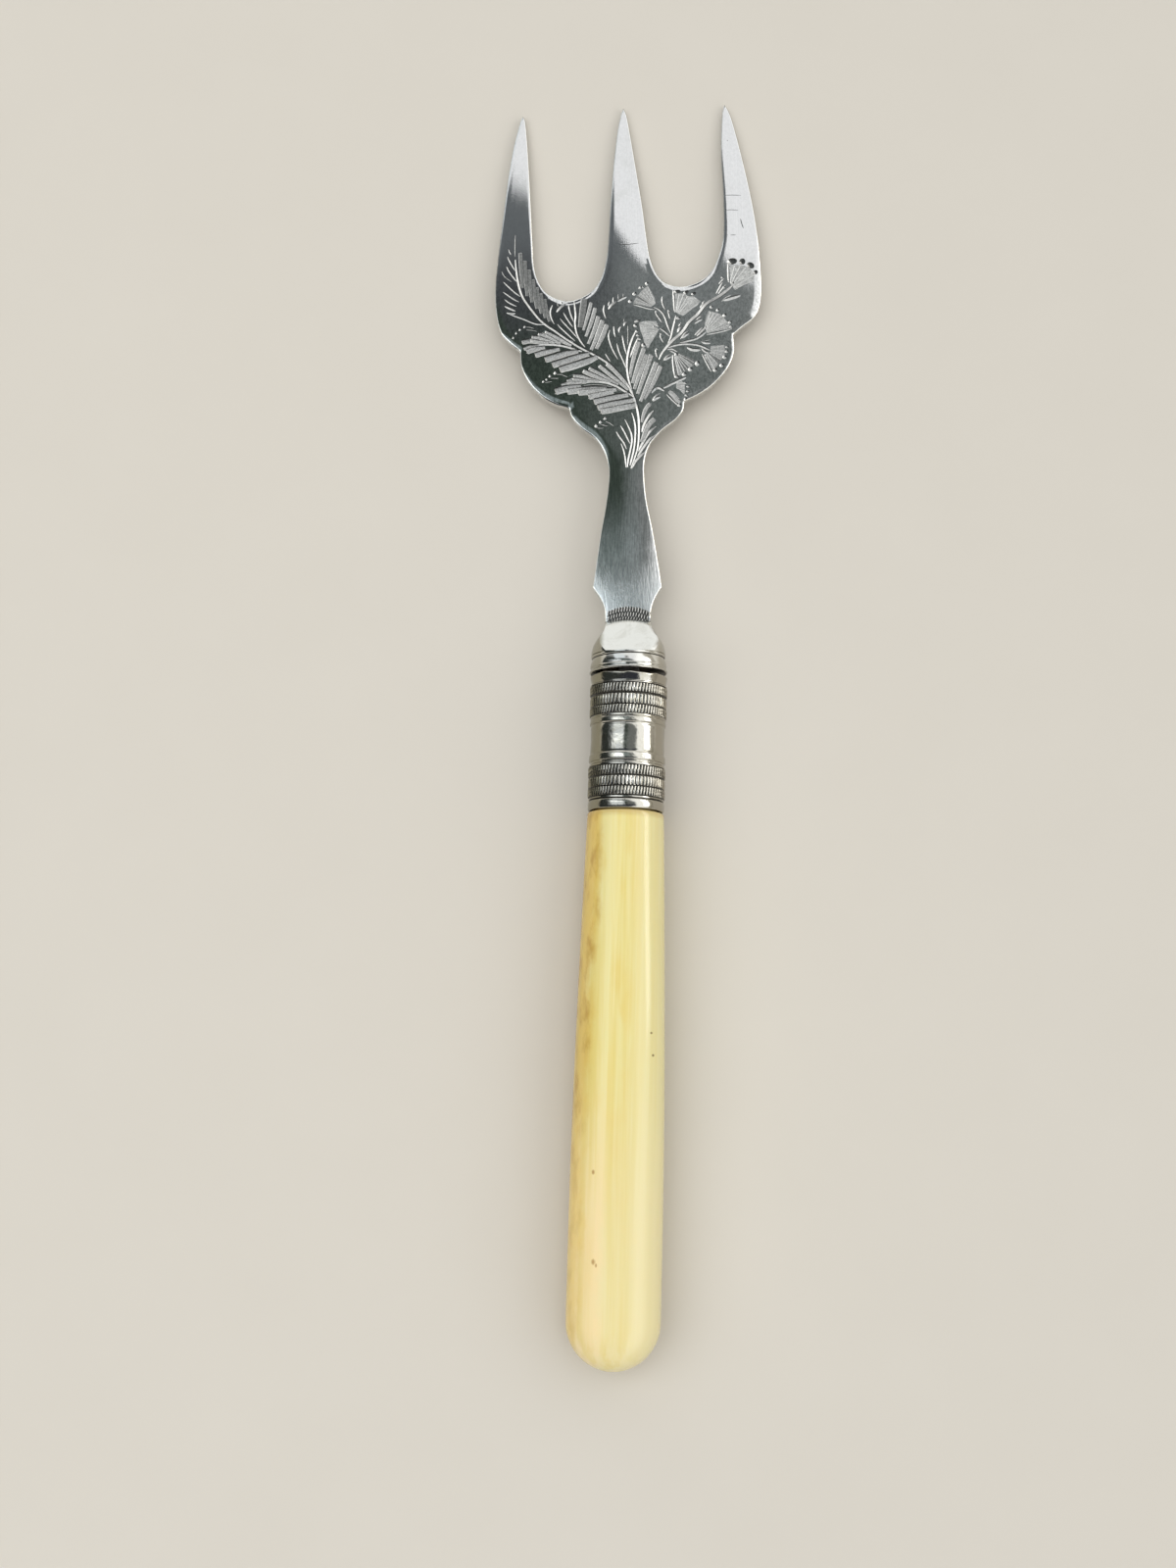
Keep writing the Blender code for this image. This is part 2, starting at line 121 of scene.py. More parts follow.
# ---------------------------------------------------------------- materials
class Shader:
    """A Principled material with short calls for its nodes."""

    def __init__(self, name, **values):
        self.mat = bpy.data.materials.new(name)
        self.mat.use_nodes = True
        self.tree = self.mat.node_tree
        self.bsdf = self.tree.nodes["Principled BSDF"]
        for key, value in values.items():
            self.bsdf.inputs[key.replace("_", " ")].default_value = value
        self.coords = self.tree.nodes.new("ShaderNodeTexCoord").outputs["Object"]

    def link(self, a, b):
        self.tree.links.new(a, b)

    def mapped(self, scale, turn=0.0, shift=(0, 0, 0)):
        """Object coordinates times scale (per millimetre), turned about Z first."""
        first = self.coords
        if turn or any(shift):
            spin = self.tree.nodes.new("ShaderNodeMapping")
            spin.vector_type = "POINT"
            spin.inputs["Rotation"].default_value = (0, 0, turn)
            spin.inputs["Location"].default_value = [c * MM for c in shift]
            self.link(first, spin.inputs["Vector"])
            first = spin.outputs["Vector"]
        node = self.tree.nodes.new("ShaderNodeMapping")
        node.vector_type = "POINT"
        node.inputs["Scale"].default_value = [1000.0 * s for s in scale]
        self.link(first, node.inputs["Vector"])
        return node.outputs["Vector"]

    def noise(self, vector, scale=1.0, detail=3.0, rough=0.55, distortion=0.0):
        node = self.tree.nodes.new("ShaderNodeTexNoise")
        node.inputs["Scale"].default_value = scale
        node.inputs["Detail"].default_value = detail
        node.inputs["Roughness"].default_value = rough
        node.inputs["Distortion"].default_value = distortion
        self.link(vector, node.inputs["Vector"])
        return node.outputs["Fac"]

    def remap(self, value, low, high, to_low=0.0, to_high=1.0, soft=False):
        node = self.tree.nodes.new("ShaderNodeMapRange")
        node.interpolation_type = "SMOOTHSTEP" if soft else "LINEAR"
        node.clamp = True
        for key, v in (("From Min", low), ("From Max", high), ("To Min", to_low), ("To Max", to_high)):
            node.inputs[key].default_value = v
        self.link(value, node.inputs["Value"])
        return node.outputs["Result"]

    def math(self, kind, a, b):
        node = self.tree.nodes.new("ShaderNodeMath")
        node.operation = kind
        for i, v in enumerate((a, b)):
            if isinstance(v, (int, float)):
                node.inputs[i].default_value = v
            else:
                self.link(v, node.inputs[i])
        return node.outputs[0]

    def mix(self, factor, a, b, kind="MIX"):
        node = self.tree.nodes.new("ShaderNodeMix")
        node.data_type = "RGBA"
        node.blend_type = kind
        if isinstance(factor, (int, float)):
            node.inputs["Factor"].default_value = factor
        else:
            self.link(factor, node.inputs["Factor"])
        for key, v in (("A", a), ("B", b)):
            socket = [s for s in node.inputs if s.name == key and s.type == "RGBA"][0]
            if isinstance(v, tuple):
                socket.default_value = (*v, 1.0)
            else:
                self.link(v, socket)
        return [s for s in node.outputs if s.type == "RGBA"][0]

    def axis(self, vector, which):
        node = self.tree.nodes.new("ShaderNodeSeparateXYZ")
        self.link(vector, node.inputs[0])
        return node.outputs[which]

    def bump(self, height, strength, distance):
        node = self.tree.nodes.new("ShaderNodeBump")
        node.inputs["Strength"].default_value = strength
        node.inputs["Distance"].default_value = distance
        self.link(height, node.inputs["Height"])
        self.link(node.outputs["Normal"], self.bsdf.inputs["Normal"])

    def set(self, socket, value):
        self.link(value, self.bsdf.inputs[socket])


def silver_plate():
    """Worn plated face: brushed lengthwise, faintly stained."""
    s = Shader("silver_plate", Metallic=1.0, IOR=1.5)
    streak = s.noise(s.mapped((4.2, 0.055, 0.3)), detail=4, rough=0.6)
    fine = s.noise(s.mapped((11.0, 0.16, 0.5), turn=math.radians(2.5)), detail=2)
    stain = s.noise(s.mapped((0.16, 0.11, 0.16)), detail=4, distortion=0.6)
    tint = s.mix(s.remap(stain, 0.5, 0.72, soft=True), (0.87, 0.88, 0.875), (0.78, 0.795, 0.775))
    tint = s.mix(s.remap(streak, 0.58, 0.74), tint, (0.93, 0.935, 0.93))
    for angle, shift in ((68, 3.0), (-37, 11.0), (22, 27.0)):
        scratch = s.noise(s.mapped((0.10, 7.0, 0.5), turn=math.radians(angle), shift=(shift, shift, 0)), detail=2)
        tint = s.mix(s.remap(scratch, 0.70, 0.76, 0.0, 0.8), tint, (0.98, 0.98, 0.97))
    # mottled wear, less on the tines
    y = s.axis(s.mapped((1.0, 1.0, 1.0)), 1)
    mottle = s.noise(s.mapped((2.3, 1.5, 2.3)), detail=6, rough=0.76, distortion=0.4)
    drawn = s.noise(s.mapped((4.6, 0.42, 0.4), turn=math.radians(2.0)), detail=5, rough=0.7)
    patchy = s.math("MULTIPLY", s.remap(mottle, 0.42, 0.60), s.remap(y, 40.0, 52.0, 0.30, 0.95))
    patchy = s.math("ADD", patchy, s.math("MULTIPLY", s.remap(drawn, 0.42, 0.60), s.remap(y, 52.0, 40.0, 0.0, 0.6)))
    patchy = s.math("MULTIPLY", patchy, s.remap(y, 62.0, 78.0, 1.0, 0.16))
    tint = s.mix(patchy, s.mix(s.remap(y, 80.0, 62.0), tint, (0.98, 0.985, 0.98)), (0.52, 0.545, 0.53))
    # rubbed harder towards the bolster, with short crossing scratches; the pale bluish tint there is a painted
    # reflection
    rubbed = s.remap(y, 34.0, 14.0, soft=True)
    foot = s.remap(y, 24.0, 15.0, soft=True)
    s.set("Base Color", s.mix(s.math("MULTIPLY", foot, 0.8), tint, (0.82, 0.88, 0.90)))
    grain = s.noise(s.mapped((5.5, 5.5, 5.5)), detail=2)
    rub = s.noise(s.mapped((5.2, 0.24, 0.4), turn=math.radians(3.5)), detail=5, rough=0.62)
    cross = s.noise(s.mapped((3.6, 0.34, 0.4), turn=math.radians(-6.0), shift=(5.0, 9.0, 0)), detail=4, rough=0.6)
    s.set("Roughness", s.math("ADD", s.remap(s.math("ADD", stain, fine), 0.75, 1.3, 0.02, 0.045),
                              s.math("ADD", s.math("MULTIPLY", rubbed, s.remap(rub, 0.35, 0.65, 0.07, 0.18)),
                                     s.math("MULTIPLY", foot, s.remap(cross, 0.35, 0.65, 0.04, 0.20)))))
    lines = s.math("ADD", streak, s.math("MULTIPLY", fine, 0.6))
    worn = s.math("MULTIPLY", s.math("ADD", rub, cross),
                  s.math("ADD", s.math("MULTIPLY", rubbed, 4.2), s.math("MULTIPLY", foot, 5.5)))
    lines = s.math("ADD", s.math("MULTIPLY", lines, 0.3), s.math("MULTIPLY", grain, 0.22))
    s.bump(s.math("ADD", lines, worn), 0.12, 0.00003)
    return s.mat


def rim_worn():
    """Plate rubbed thin along its edge."""
    s = Shader("rim_worn", Metallic=1.0, IOR=1.5)
    grain = s.noise(s.mapped((1.8, 1.8, 1.8)), detail=4)
    s.set("Base Color", s.mix(s.remap(grain, 0.35, 0.7), (0.76, 0.745, 0.69), (0.60, 0.58, 0.52)))
    s.set("Roughness", s.remap(grain, 0.3, 0.7, 0.10, 0.2))
    return s.mat


def cut_bright():
    """Clean facets of the narrow bright cuts."""
    s = Shader("cut_bright", Metallic=1.0, IOR=1.5)
    grain = s.noise(s.mapped((3.0, 3.0, 3.0)), detail=3)
    s.set("Base Color", s.mix(s.remap(grain, 0.35, 0.7), (0.84, 0.84, 0.825), (0.62, 0.62, 0.605)))
    s.set("Roughness", s.remap(grain, 0.3, 0.7, 0.30, 0.42))
    return s.mat


def cut_grey():
    """Broad scraped facets of leaves and hatched petals."""
    s = Shader("cut_grey", Metallic=1.0, IOR=1.5)
    grain = s.noise(s.mapped((4.2, 4.2, 4.2)), detail=4, rough=0.7)
    s.set("Base Color", s.mix(s.remap(grain, 0.36, 0.64), (0.77, 0.77, 0.755), (0.37, 0.375, 0.365)))
    s.set("Roughness", s.remap(grain, 0.3, 0.7, 0.40, 0.54))
    s.bump(grain, 0.4, 0.00003)
    return s.mat


def cut_dim():
    """Shallower scraped bars, half worn away."""
    s = Shader("cut_dim", Metallic=1.0, IOR=1.5)
    grain = s.noise(s.mapped((4.2, 2.4, 4.2)), detail=4, rough=0.7)
    s.set("Base Color", s.mix(s.remap(grain, 0.36, 0.64), (0.39, 0.395, 0.385), (0.20, 0.205, 0.20)))
    s.set("Roughness", s.remap(grain, 0.3, 0.7, 0.32, 0.46))
    s.bump(grain, 0.3, 0.00003)
    return s.mat


def cut_petal():
    """Frosted petals, wriggled with the graver."""
    s = Shader("cut_petal", Metallic=1.0, IOR=1.5)
    grain = s.noise(s.mapped((3.4, 3.4, 3.4)), detail=5, rough=0.7)
    cloud = s.noise(s.mapped((0.9, 0.9, 0.9)), detail=2)
    pale = s.mix(s.remap(cloud, 0.38, 0.62, soft=True), (0.93, 0.93, 0.91), (0.68, 0.685, 0.67))
    s.set("Base Color", s.mix(s.remap(grain, 0.40, 0.68), pale, (0.46, 0.465, 0.455)))
    s.set("Roughness", s.remap(grain, 0.3, 0.7, 0.52, 0.64))
    s.bump(grain, 0.4, 0.00003)
    return s.mat


def cut_tarnish_and_shade():
    """Steep side of each cut, the side away from the light, painted near-black: painted shade over some tarnish held in
    the cut.
    """
    s = Shader("cut_tarnish_and_shade", Metallic=0.85, IOR=1.5)
    grain = s.noise(s.mapped((2.5, 2.5, 2.5)), detail=3)
    s.set("Base Color", s.mix(s.remap(grain, 0.3, 0.7), (0.055, 0.058, 0.058), (0.13, 0.135, 0.13)))
    s.set("Roughness", s.remap(grain, 0.3, 0.7, 0.34, 0.5))
    return s.mat


def silver_polished(name, tint, dull, keep, beaten, reach):
    """Bright plating on the turned pieces, with warm stains; both sides painted darker brown, the left darkest: painted
    shade over some tarnish.
    """
    s = Shader(name, Metallic=1.0, IOR=1.5)
    stain = s.noise(s.mapped((0.42, 0.42, 0.42)), detail=5, rough=0.6, distortion=0.8)
    speck = s.noise(s.mapped((2.6, 2.6, 2.6)), detail=3)
    clean = s.mix(s.remap(stain, 0.45, 0.72, soft=True), tint, dull)
    x = s.axis(s.mapped((1.0, 1.0, 1.0), turn=-HANDLE_TURN, shift=(0.7671, -4.7386, -6.4)), 0)  # handle frame
    # sides painted brown, darker on the left: painted shade standing for the shaded cloth they reflect, over some
    # tarnish
    brown = s.mix(s.remap(x, -3.0, 3.0, soft=True), (0.26, 0.245, 0.175), (0.36, 0.335, 0.28))
    side = s.remap(s.math("ADD", s.math("MULTIPLY", x, x), s.math("MULTIPLY", stain, 5.0)), reach, reach + 8.0, soft=True)
    s.set("Base Color", s.mix(s.math("MULTIPLY", side, keep), clean, brown))
    s.set("Roughness", s.remap(s.math("ADD", stain, speck), 0.7, 1.35, 0.07, 0.2))
    s.bump(s.math("ADD", stain, s.math("MULTIPLY", speck, 0.10)), 0.18, beaten)
    return s.mat


def groove_tarnish():
    s = Shader("groove_tarnish", Metallic=0.9, IOR=1.5)
    grain = s.noise(s.mapped((1.4, 1.4, 1.4)), detail=4)
    s.set("Base Color", s.mix(s.remap(grain, 0.35, 0.7), (0.035, 0.034, 0.030), (0.11, 0.105, 0.09)))
    s.set("Roughness", s.remap(grain, 0.3, 0.7, 0.3, 0.48))
    return s.mat


def bone():
    """Aged bone: ivory yellow with lengthwise streaks, browner along the left side, glossy."""
    s = Shader("bone", IOR=1.52, Subsurface_Weight=0.12, Subsurface_Scale=0.0015)
    s.bsdf.inputs["Subsurface Radius"].default_value = (1.0, 0.7, 0.35)
    grip = dict(turn=-HANDLE_TURN, shift=(0.7671, -4.7386, -6.4))  # handle frame
    along = s.mapped((1.0, 1.0, 1.0), **grip)
    x, y = s.axis(along, 0), s.axis(along, 1)
    streak = s.noise(s.mapped((0.62, 0.020, 0.62), **grip), detail=4, rough=0.5)
    fine = s.noise(s.mapped((2.6, 0.045, 2.6), **grip), detail=3)
    cloud = s.noise(s.mapped((0.16, 0.045, 0.16), **grip), detail=4, rough=0.55)
    mottle = s.noise(s.mapped((0.34, 0.17, 0.34), **grip), detail=5, rough=0.65)
    lower = s.remap(y, -58.0, -88.0, soft=True)
    # distance in from the left edge of the grip
    edge = s.math("ADD", s.math("ADD", x, s.math("MULTIPLY", y, -0.0254)), 5.14)
    wander = s.math("MULTIPLY", s.math("SUBTRACT", mottle, 0.5), 3.4)
    inward = s.math("ADD", edge, wander)
    base = s.mix(s.remap(streak, 0.38, 0.62, soft=True), (0.765, 0.635, 0.215), (0.80, 0.715, 0.33))
    gold = s.math("MULTIPLY", s.remap(cloud, 0.48, 0.64, 0.0, 0.6, soft=True), s.remap(x, 4.2, 0.0, 0.15, 1.0, soft=True))
    base = s.mix(gold, base, (0.77, 0.59, 0.165))
    base = s.mix(s.remap(fine, 0.50, 0.72, 0.0, 0.32), base, (0.84, 0.77, 0.44))
    base = s.mix(s.remap(fine, 0.44, 0.28, 0.0, 0.3), base, (0.755, 0.60, 0.185))
    base = s.mix(s.remap(x, -0.5, 3.8, 0.0, 0.62, soft=True), base, (0.81, 0.745, 0.415))
    # paler towards the butt: peach on the left, cream on the right
    peach = s.remap(inward, 6.6, 4.2, soft=True)
    pale = s.mix(peach, (0.835, 0.735, 0.425), (0.92, 0.73, 0.42))
    base = s.mix(s.math("MULTIPLY", lower, s.remap(streak, 0.35, 0.65, 0.45, 0.85)), base, pale)
    # a brown, mottled left edge
    left = s.remap(inward, 2.9, 0.7, soft=True)
    brown = s.mix(lower, (0.72, 0.50, 0.12), (0.84, 0.62, 0.21))
    base = s.mix(s.math("MULTIPLY", left, 0.85), base, brown)
    blot = s.noise(s.mapped((0.42, 0.19, 0.42), shift=(3.0, 7.0, 1.0), turn=-HANDLE_TURN), detail=4, rough=0.55)
    spots = s.math("MULTIPLY", s.remap(blot, 0.42, 0.66, soft=True), s.remap(inward, 2.8, 0.9, soft=True))
    base = s.mix(s.math("MULTIPLY", spots, s.remap(lower, 0.0, 1.0, 0.72, 0.25)), base, (0.46, 0.26, 0.05))
    rim = s.remap(y, -24.6, -23.3, soft=True)
    base = s.mix(s.math("MULTIPLY", rim, 0.6), base, (0.50, 0.33, 0.10))
    # open pores
    for px, py, size in ((4.69, -57.7, 0.24), (5.04, -61.1, 0.26)):
        gap = s.tree.nodes.new("ShaderNodeVectorMath")
        gap.operation = "DISTANCE"
        flat = s.tree.nodes.new("ShaderNodeCombineXYZ")
        s.link(x, flat.inputs[0])
        s.link(y, flat.inputs[1])
        s.link(flat.outputs[0], gap.inputs[0])
        gap.inputs[1].default_value = (px, py, 0)
        base = s.mix(s.remap(gap.outputs["Value"], size, 0.4 * size, 0.0, 0.8, soft=True), base, (0.16, 0.09, 0.03))
    # short brown checks low on the left
    for px, py, size in ((-3.64, -78.9, 0.28), (-3.3, -92.2, 0.34), (-2.9, -92.7, 0.24)):
        gap = s.tree.nodes.new("ShaderNodeVectorMath")
        gap.operation = "DISTANCE"
        flat = s.tree.nodes.new("ShaderNodeCombineXYZ")
        s.link(s.math("ADD", x, s.math("MULTIPLY", fine, 0.5)), flat.inputs[0])
        s.link(s.math("MULTIPLY", y, 0.55), flat.inputs[1])
        s.link(flat.outputs[0], gap.inputs[0])
        gap.inputs[1].default_value = (px + 0.25, py * 0.55, 0)
        base = s.mix(s.remap(gap.outputs["Value"], size, 0.3 * size, 0.0, 0.75, soft=True), base, (0.42, 0.22, 0.06))
    s.set("Base Color", base)
    s.set("Roughness", s.remap(mottle, 0.3, 0.7, 0.09, 0.16))
    s.bump(s.math("ADD", mottle, s.math("MULTIPLY", fine, 0.2)), 0.08, 0.0002)
    return s.mat


def tang_steel():
    s = Shader("tang_dark_steel", Metallic=1.0, IOR=1.5)
    scale = s.noise(s.mapped((0.9, 0.35, 0.9)), detail=5, rough=0.65)
    s.set("Base Color", s.mix(s.remap(scale, 0.4, 0.7), (0.30, 0.29, 0.28), (0.14, 0.10, 0.075)))
    s.set("Roughness", s.remap(scale, 0.3, 0.7, 0.4, 0.72))
    s.bump(scale, 0.4, 0.0001)
    return s.mat


def cement():
    s = Shader("cement_brown", IOR=1.5)
    grit = s.noise(s.mapped((1.6, 1.6, 1.6)), detail=6, rough=0.7)
    s.set("Base Color", s.mix(s.remap(grit, 0.35, 0.7), (0.17, 0.11, 0.065), (0.08, 0.055, 0.035)))
    s.set("Roughness", s.remap(grit, 0.3, 0.7, 0.6, 0.85))
    s.bump(grit, 0.6, 0.0002)
    return s.mat


def floor_paper():
    s = Shader("floor_paper", IOR=1.4, Roughness=0.9)
    grain = s.noise(s.mapped((0.05, 0.05, 0.05)), detail=3)
    s.set("Base Color", s.mix(grain, (0.62, 0.585, 0.525), (0.64, 0.605, 0.545)))
    return s.mat


# -------------------------------------------------------------------- camera
cam_data = bpy.data.cameras.new("camera")
cam_data.lens = FOCAL * 36.0 / FRAME_H
cam_data.clip_start, cam_data.clip_end = 0.01, 20.0
camera = bpy.data.objects.new("camera", cam_data)
camera.location = Vector(CAM_AT * MM)
camera.rotation_euler = CAM_TURN
bpy.context.scene.collection.objects.link(camera)
bpy.context.scene.camera = camera


# --------------------------------------------------------------------- blade
NECK_T, HEAD_T, TIP_T = 1.7, 1.6, 1.1
BEND_START, BEND_END, SLOPE = 8.0, 14.0, 0.0655
TONGUE_HALF, TONGUE_END, SHOULDER = 2.9, 3.1, 7.86

RUNS = [
    [(3.65, 7.86), (3.8, 10.0), (4.4, 11.7), (5.55, 13.7)],
    [(5.55, 13.7), (4.9, 18.3), (4.15, 23.3), (3.25, 28.3), (2.95, 32.0), (3.0, 34.9), (3.8, 37.6), (5.8, 40.2),
     (8.25, 42.2), (9.45, 43.8), (9.7, 45.4)],
    [(9.7, 45.4), (12.3, 46.7), (14.8, 48.6), (16.95, 51.2), (18.05, 54.0), (18.0, 57.1)],
    [(18.0, 57.1), (19.7, 58.6), (21.65, 60.3), (22.7, 63.1), (22.9, 68.3), (22.35, 76.7), (21.3, 84.0),
     (19.8, 91.7), (18.65, 96.7), (17.95, 98.6), (17.55, 99.3)],
    [(17.55, 99.3), (17.25, 98.6), (16.95, 96.2), (16.7, 90.4), (16.9, 82.5), (16.8, 75.6), (16.15, 72.1),
     (14.8, 68.8), (12.8, 66.9), (9.85, 65.9), (7.15, 66.4), (5.5, 68.1), (4.5, 70.8), (4.0, 73.9), (3.25, 80.6),
     (2.25, 87.8), (1.3, 94.4), (0.75, 97.6), (0.25, 98.8)],
    [(0.25, 98.8), (-0.15, 97.6), (-0.8, 94.3), (-1.55, 87.9), (-2.15, 80.7), (-2.55, 74.1), (-2.95, 70.7),
     (-3.85, 67.3), (-5.6, 64.9), (-9.1, 63.4), (-12.25, 64.3), (-14.05, 66.4), (-15.0, 69.7), (-15.3, 75.1),
     (-15.6, 82.5), (-15.95, 89.8), (-16.25, 94.4), (-16.5, 96.6), (-16.8, 97.4)],
    [(-16.8, 97.4), (-17.2, 96.6), (-17.65, 94.9), (-18.4, 91.7), (-19.3, 86.1), (-20.15, 79.0), (-20.95, 71.8),
     (-21.45, 65.7), (-21.3, 61.1), (-20.5, 57.7), (-19.1, 55.9), (-17.35, 54.4)],
    [(-17.35, 54.4), (-17.05, 51.5), (-15.65, 48.5), (-13.55, 46.3), (-11.4, 45.0), (-9.3, 44.3)],
    [(-9.3, 44.3), (-8.7, 42.5), (-7.2, 40.8), (-4.9, 38.9), (-3.5, 36.5), (-2.9, 34.2), (-2.85, 31.7),
     (-3.4, 27.3), (-4.2, 22.9), (-4.9, 18.3), (-5.6, 13.6)],
    [(-5.6, 13.6), (-4.4, 11.7), (-3.75, 10.0), (-3.6, 7.86)],
]


def plate_z(y, side):
    """Height of the plate's upper (side 1) or lower (side -1) face over the axis plane."""
    y = np.asarray(y, float)
    thick = NECK_T + (HEAD_T - NECK_T) * ease(BEND_START, 37.0, y) + (TIP_T - HEAD_T) * ease(68.0, 99.0, y)
    bent = np.clip(y - BEND_START, 0.0, BEND_END - BEND_START)
    drop = SLOPE * (bent * bent / (2 * (BEND_END - BEND_START)) + np.maximum(0.0, y - BEND_END))
    return side * thick / 2 - drop


def at(px, py):
    """The point of the blade's upper face (x, y in the blade frame) seen at a pixel of the frame."""
    ray = np.array(CAM_TURN.to_matrix() @ Vector(((px - FRAME_W / 2) / FOCAL, -(py - FRAME_H / 2) / FOCAL, -1.0)))
    z = SEAT[2]
    for _ in range(8):
        p = CAM_AT + ray * (z - CAM_AT[2]) / ray[2]
        z = SEAT[2] + float(plate_z(p[1] - SEAT[1], 1))
    return p[0] - SEAT[0], p[1] - SEAT[1]


def edge_distance(points, line):
    """Distance of points to an open polyline, and the unit vector away from its nearest point."""
    points = np.asarray(points, float)
    a, b = line[:-1], line[1:]
    ab = b - a
    len2 = np.maximum((ab ** 2).sum(1), 1e-12)
    dist = np.empty(len(points))
    away = np.empty((len(points), 2))
    for start in range(0, len(points), 2000):
        p = points[start:start + 2000]
        ap = p[:, None, :] - a[None]
        t = np.clip((ap * ab[None]).sum(2) / len2[None], 0.0, 1.0)
        diff = ap - t[..., None] * ab[None]
        d2 = (diff ** 2).sum(2)
        best = d2.argmin(1)
        rows = np.arange(len(p))
        d = np.sqrt(d2[rows, best])
        dist[start:start + 2000] = d
        away[start:start + 2000] = diff[rows, best] / np.maximum(d, 1e-9)[:, None]
    return dist, away


# rounding of the face: y, depth and width beside the edge of the head, half width that the neck's crown is drawn over
HEAD_ROUND = np.array([(36, 0.12, 1.0), (41, 0.13, 1.1), (45, 0.14, 1.1), (52, 0.13, 1.05), (56, 0.14, 1.1), (62, 0.12, 1.0),
                       (68, 0.10, 0.9), (74, 0.09, 0.8), (99, 0.08, 0.7)])
NECK_ROUND = np.array([(7.8, 0.30, 4.1), (11, 0.34, 4.7), (13.6, 0.33, 5.2), (16, 0.28, 5.15), (18.3, 0.25, 4.95),
                       (23.2, 0.16, 4.2), (28, 0.12, 3.45), (32, 0.11, 3.1), (36, 0.12, 3.5), (40, 0.13, 5.5)])
TINE_MIDDLE = np.array([(62, -18.3, 0.9, 20.0), (70, -18.05, 0.8, 19.6), (84, -17.6, 0.45, 19.1), (92, -17.2, 0.25, 18.3),
                        (99, -16.8, 0.2, 17.6)])


def crown(xy, d, away):
    """How far the face falls away towards its edges, and the gradient of that fall."""
    x, y = xy[:, 0], xy[:, 1]
    head = ease(31.0, 39.0, y)
    deep, wide = (np.interp(y, HEAD_ROUND[:, 0], HEAD_ROUND[:, k]) for k in (1, 2))
    shoulder = ease(17.5, 20.5, x) * ease(55.0, 60.0, y) * (1 - ease(66.0, 74.0, y))  # fuller on the right shoulder
    right = ease(0.2, 0.8, -away[:, 0]) * (1 - shoulder)
    deep, wide = deep * (1 - 0.66 * right) + 0.03 * shoulder, wide * (1 - 0.56 * right) + 0.3 * shoulder
    deep = deep * (1 - 0.5 * ease(0.2, 0.8, away[:, 0]))  # filed flatter along its left edges
    u = np.clip(1 - d / wide, 0.0, 1.0)
    v = np.clip(1 - d / 0.2, 0.0, 1.0)
    crisp = 1 - 0.8 * ease(0.2, 0.8, away[:, 0])
    fall = head * deep * u ** 2 + 0.10 * crisp * v ** 2
    grad = -away * (head * deep * 2 * u / wide + 0.2 * crisp * v / 0.2)[:, None]
    deep, half = (np.interp(y, NECK_ROUND[:, 0], NECK_ROUND[:, k]) for k in (1, 2))
    u = x / half
    fall = fall + (1 - head) * deep * np.abs(u) ** 2.6
    grad[:, 0] += (1 - head) * deep * 2.6 * np.abs(u) ** 1.6 * np.sign(u) / half
    left, mid, right = (np.interp(y, TINE_MIDDLE[:, 0], TINE_MIDDLE[:, k]) for k in (1, 2, 3))
    which = np.where(x < -10, 0, np.where(x < 11, 1, 2))
    off = np.clip(x - np.choose(which, (left, mid, right)), -3.2, 3.2)
    far = ease(60.0, 72.0, y)
    full, lean = (np.array(v)[which] * far for v in ((0.0004, 0.0030, 0.0020), (0.0, 0.0180, 0.0140)))
    fall = fall + full * off ** 2 + lean * (off + 3.2)
    grad[:, 0] += np.where(np.abs(off) < 3.2, 2 * full * off + lean, 0.0)
    return fall, grad


outline = []
for run in RUNS:
    outline += spline(run, 0.4)[:-1]
outline.append(RUNS[-1][-1])
EDGE = np.array(outline) * (0.9998, 1.0)
TONGUE = [(-TONGUE_HALF, SHOULDER), (-TONGUE_HALF, TONGUE_END), (TONGUE_HALF, TONGUE_END), (TONGUE_HALF, SHOULDER)]

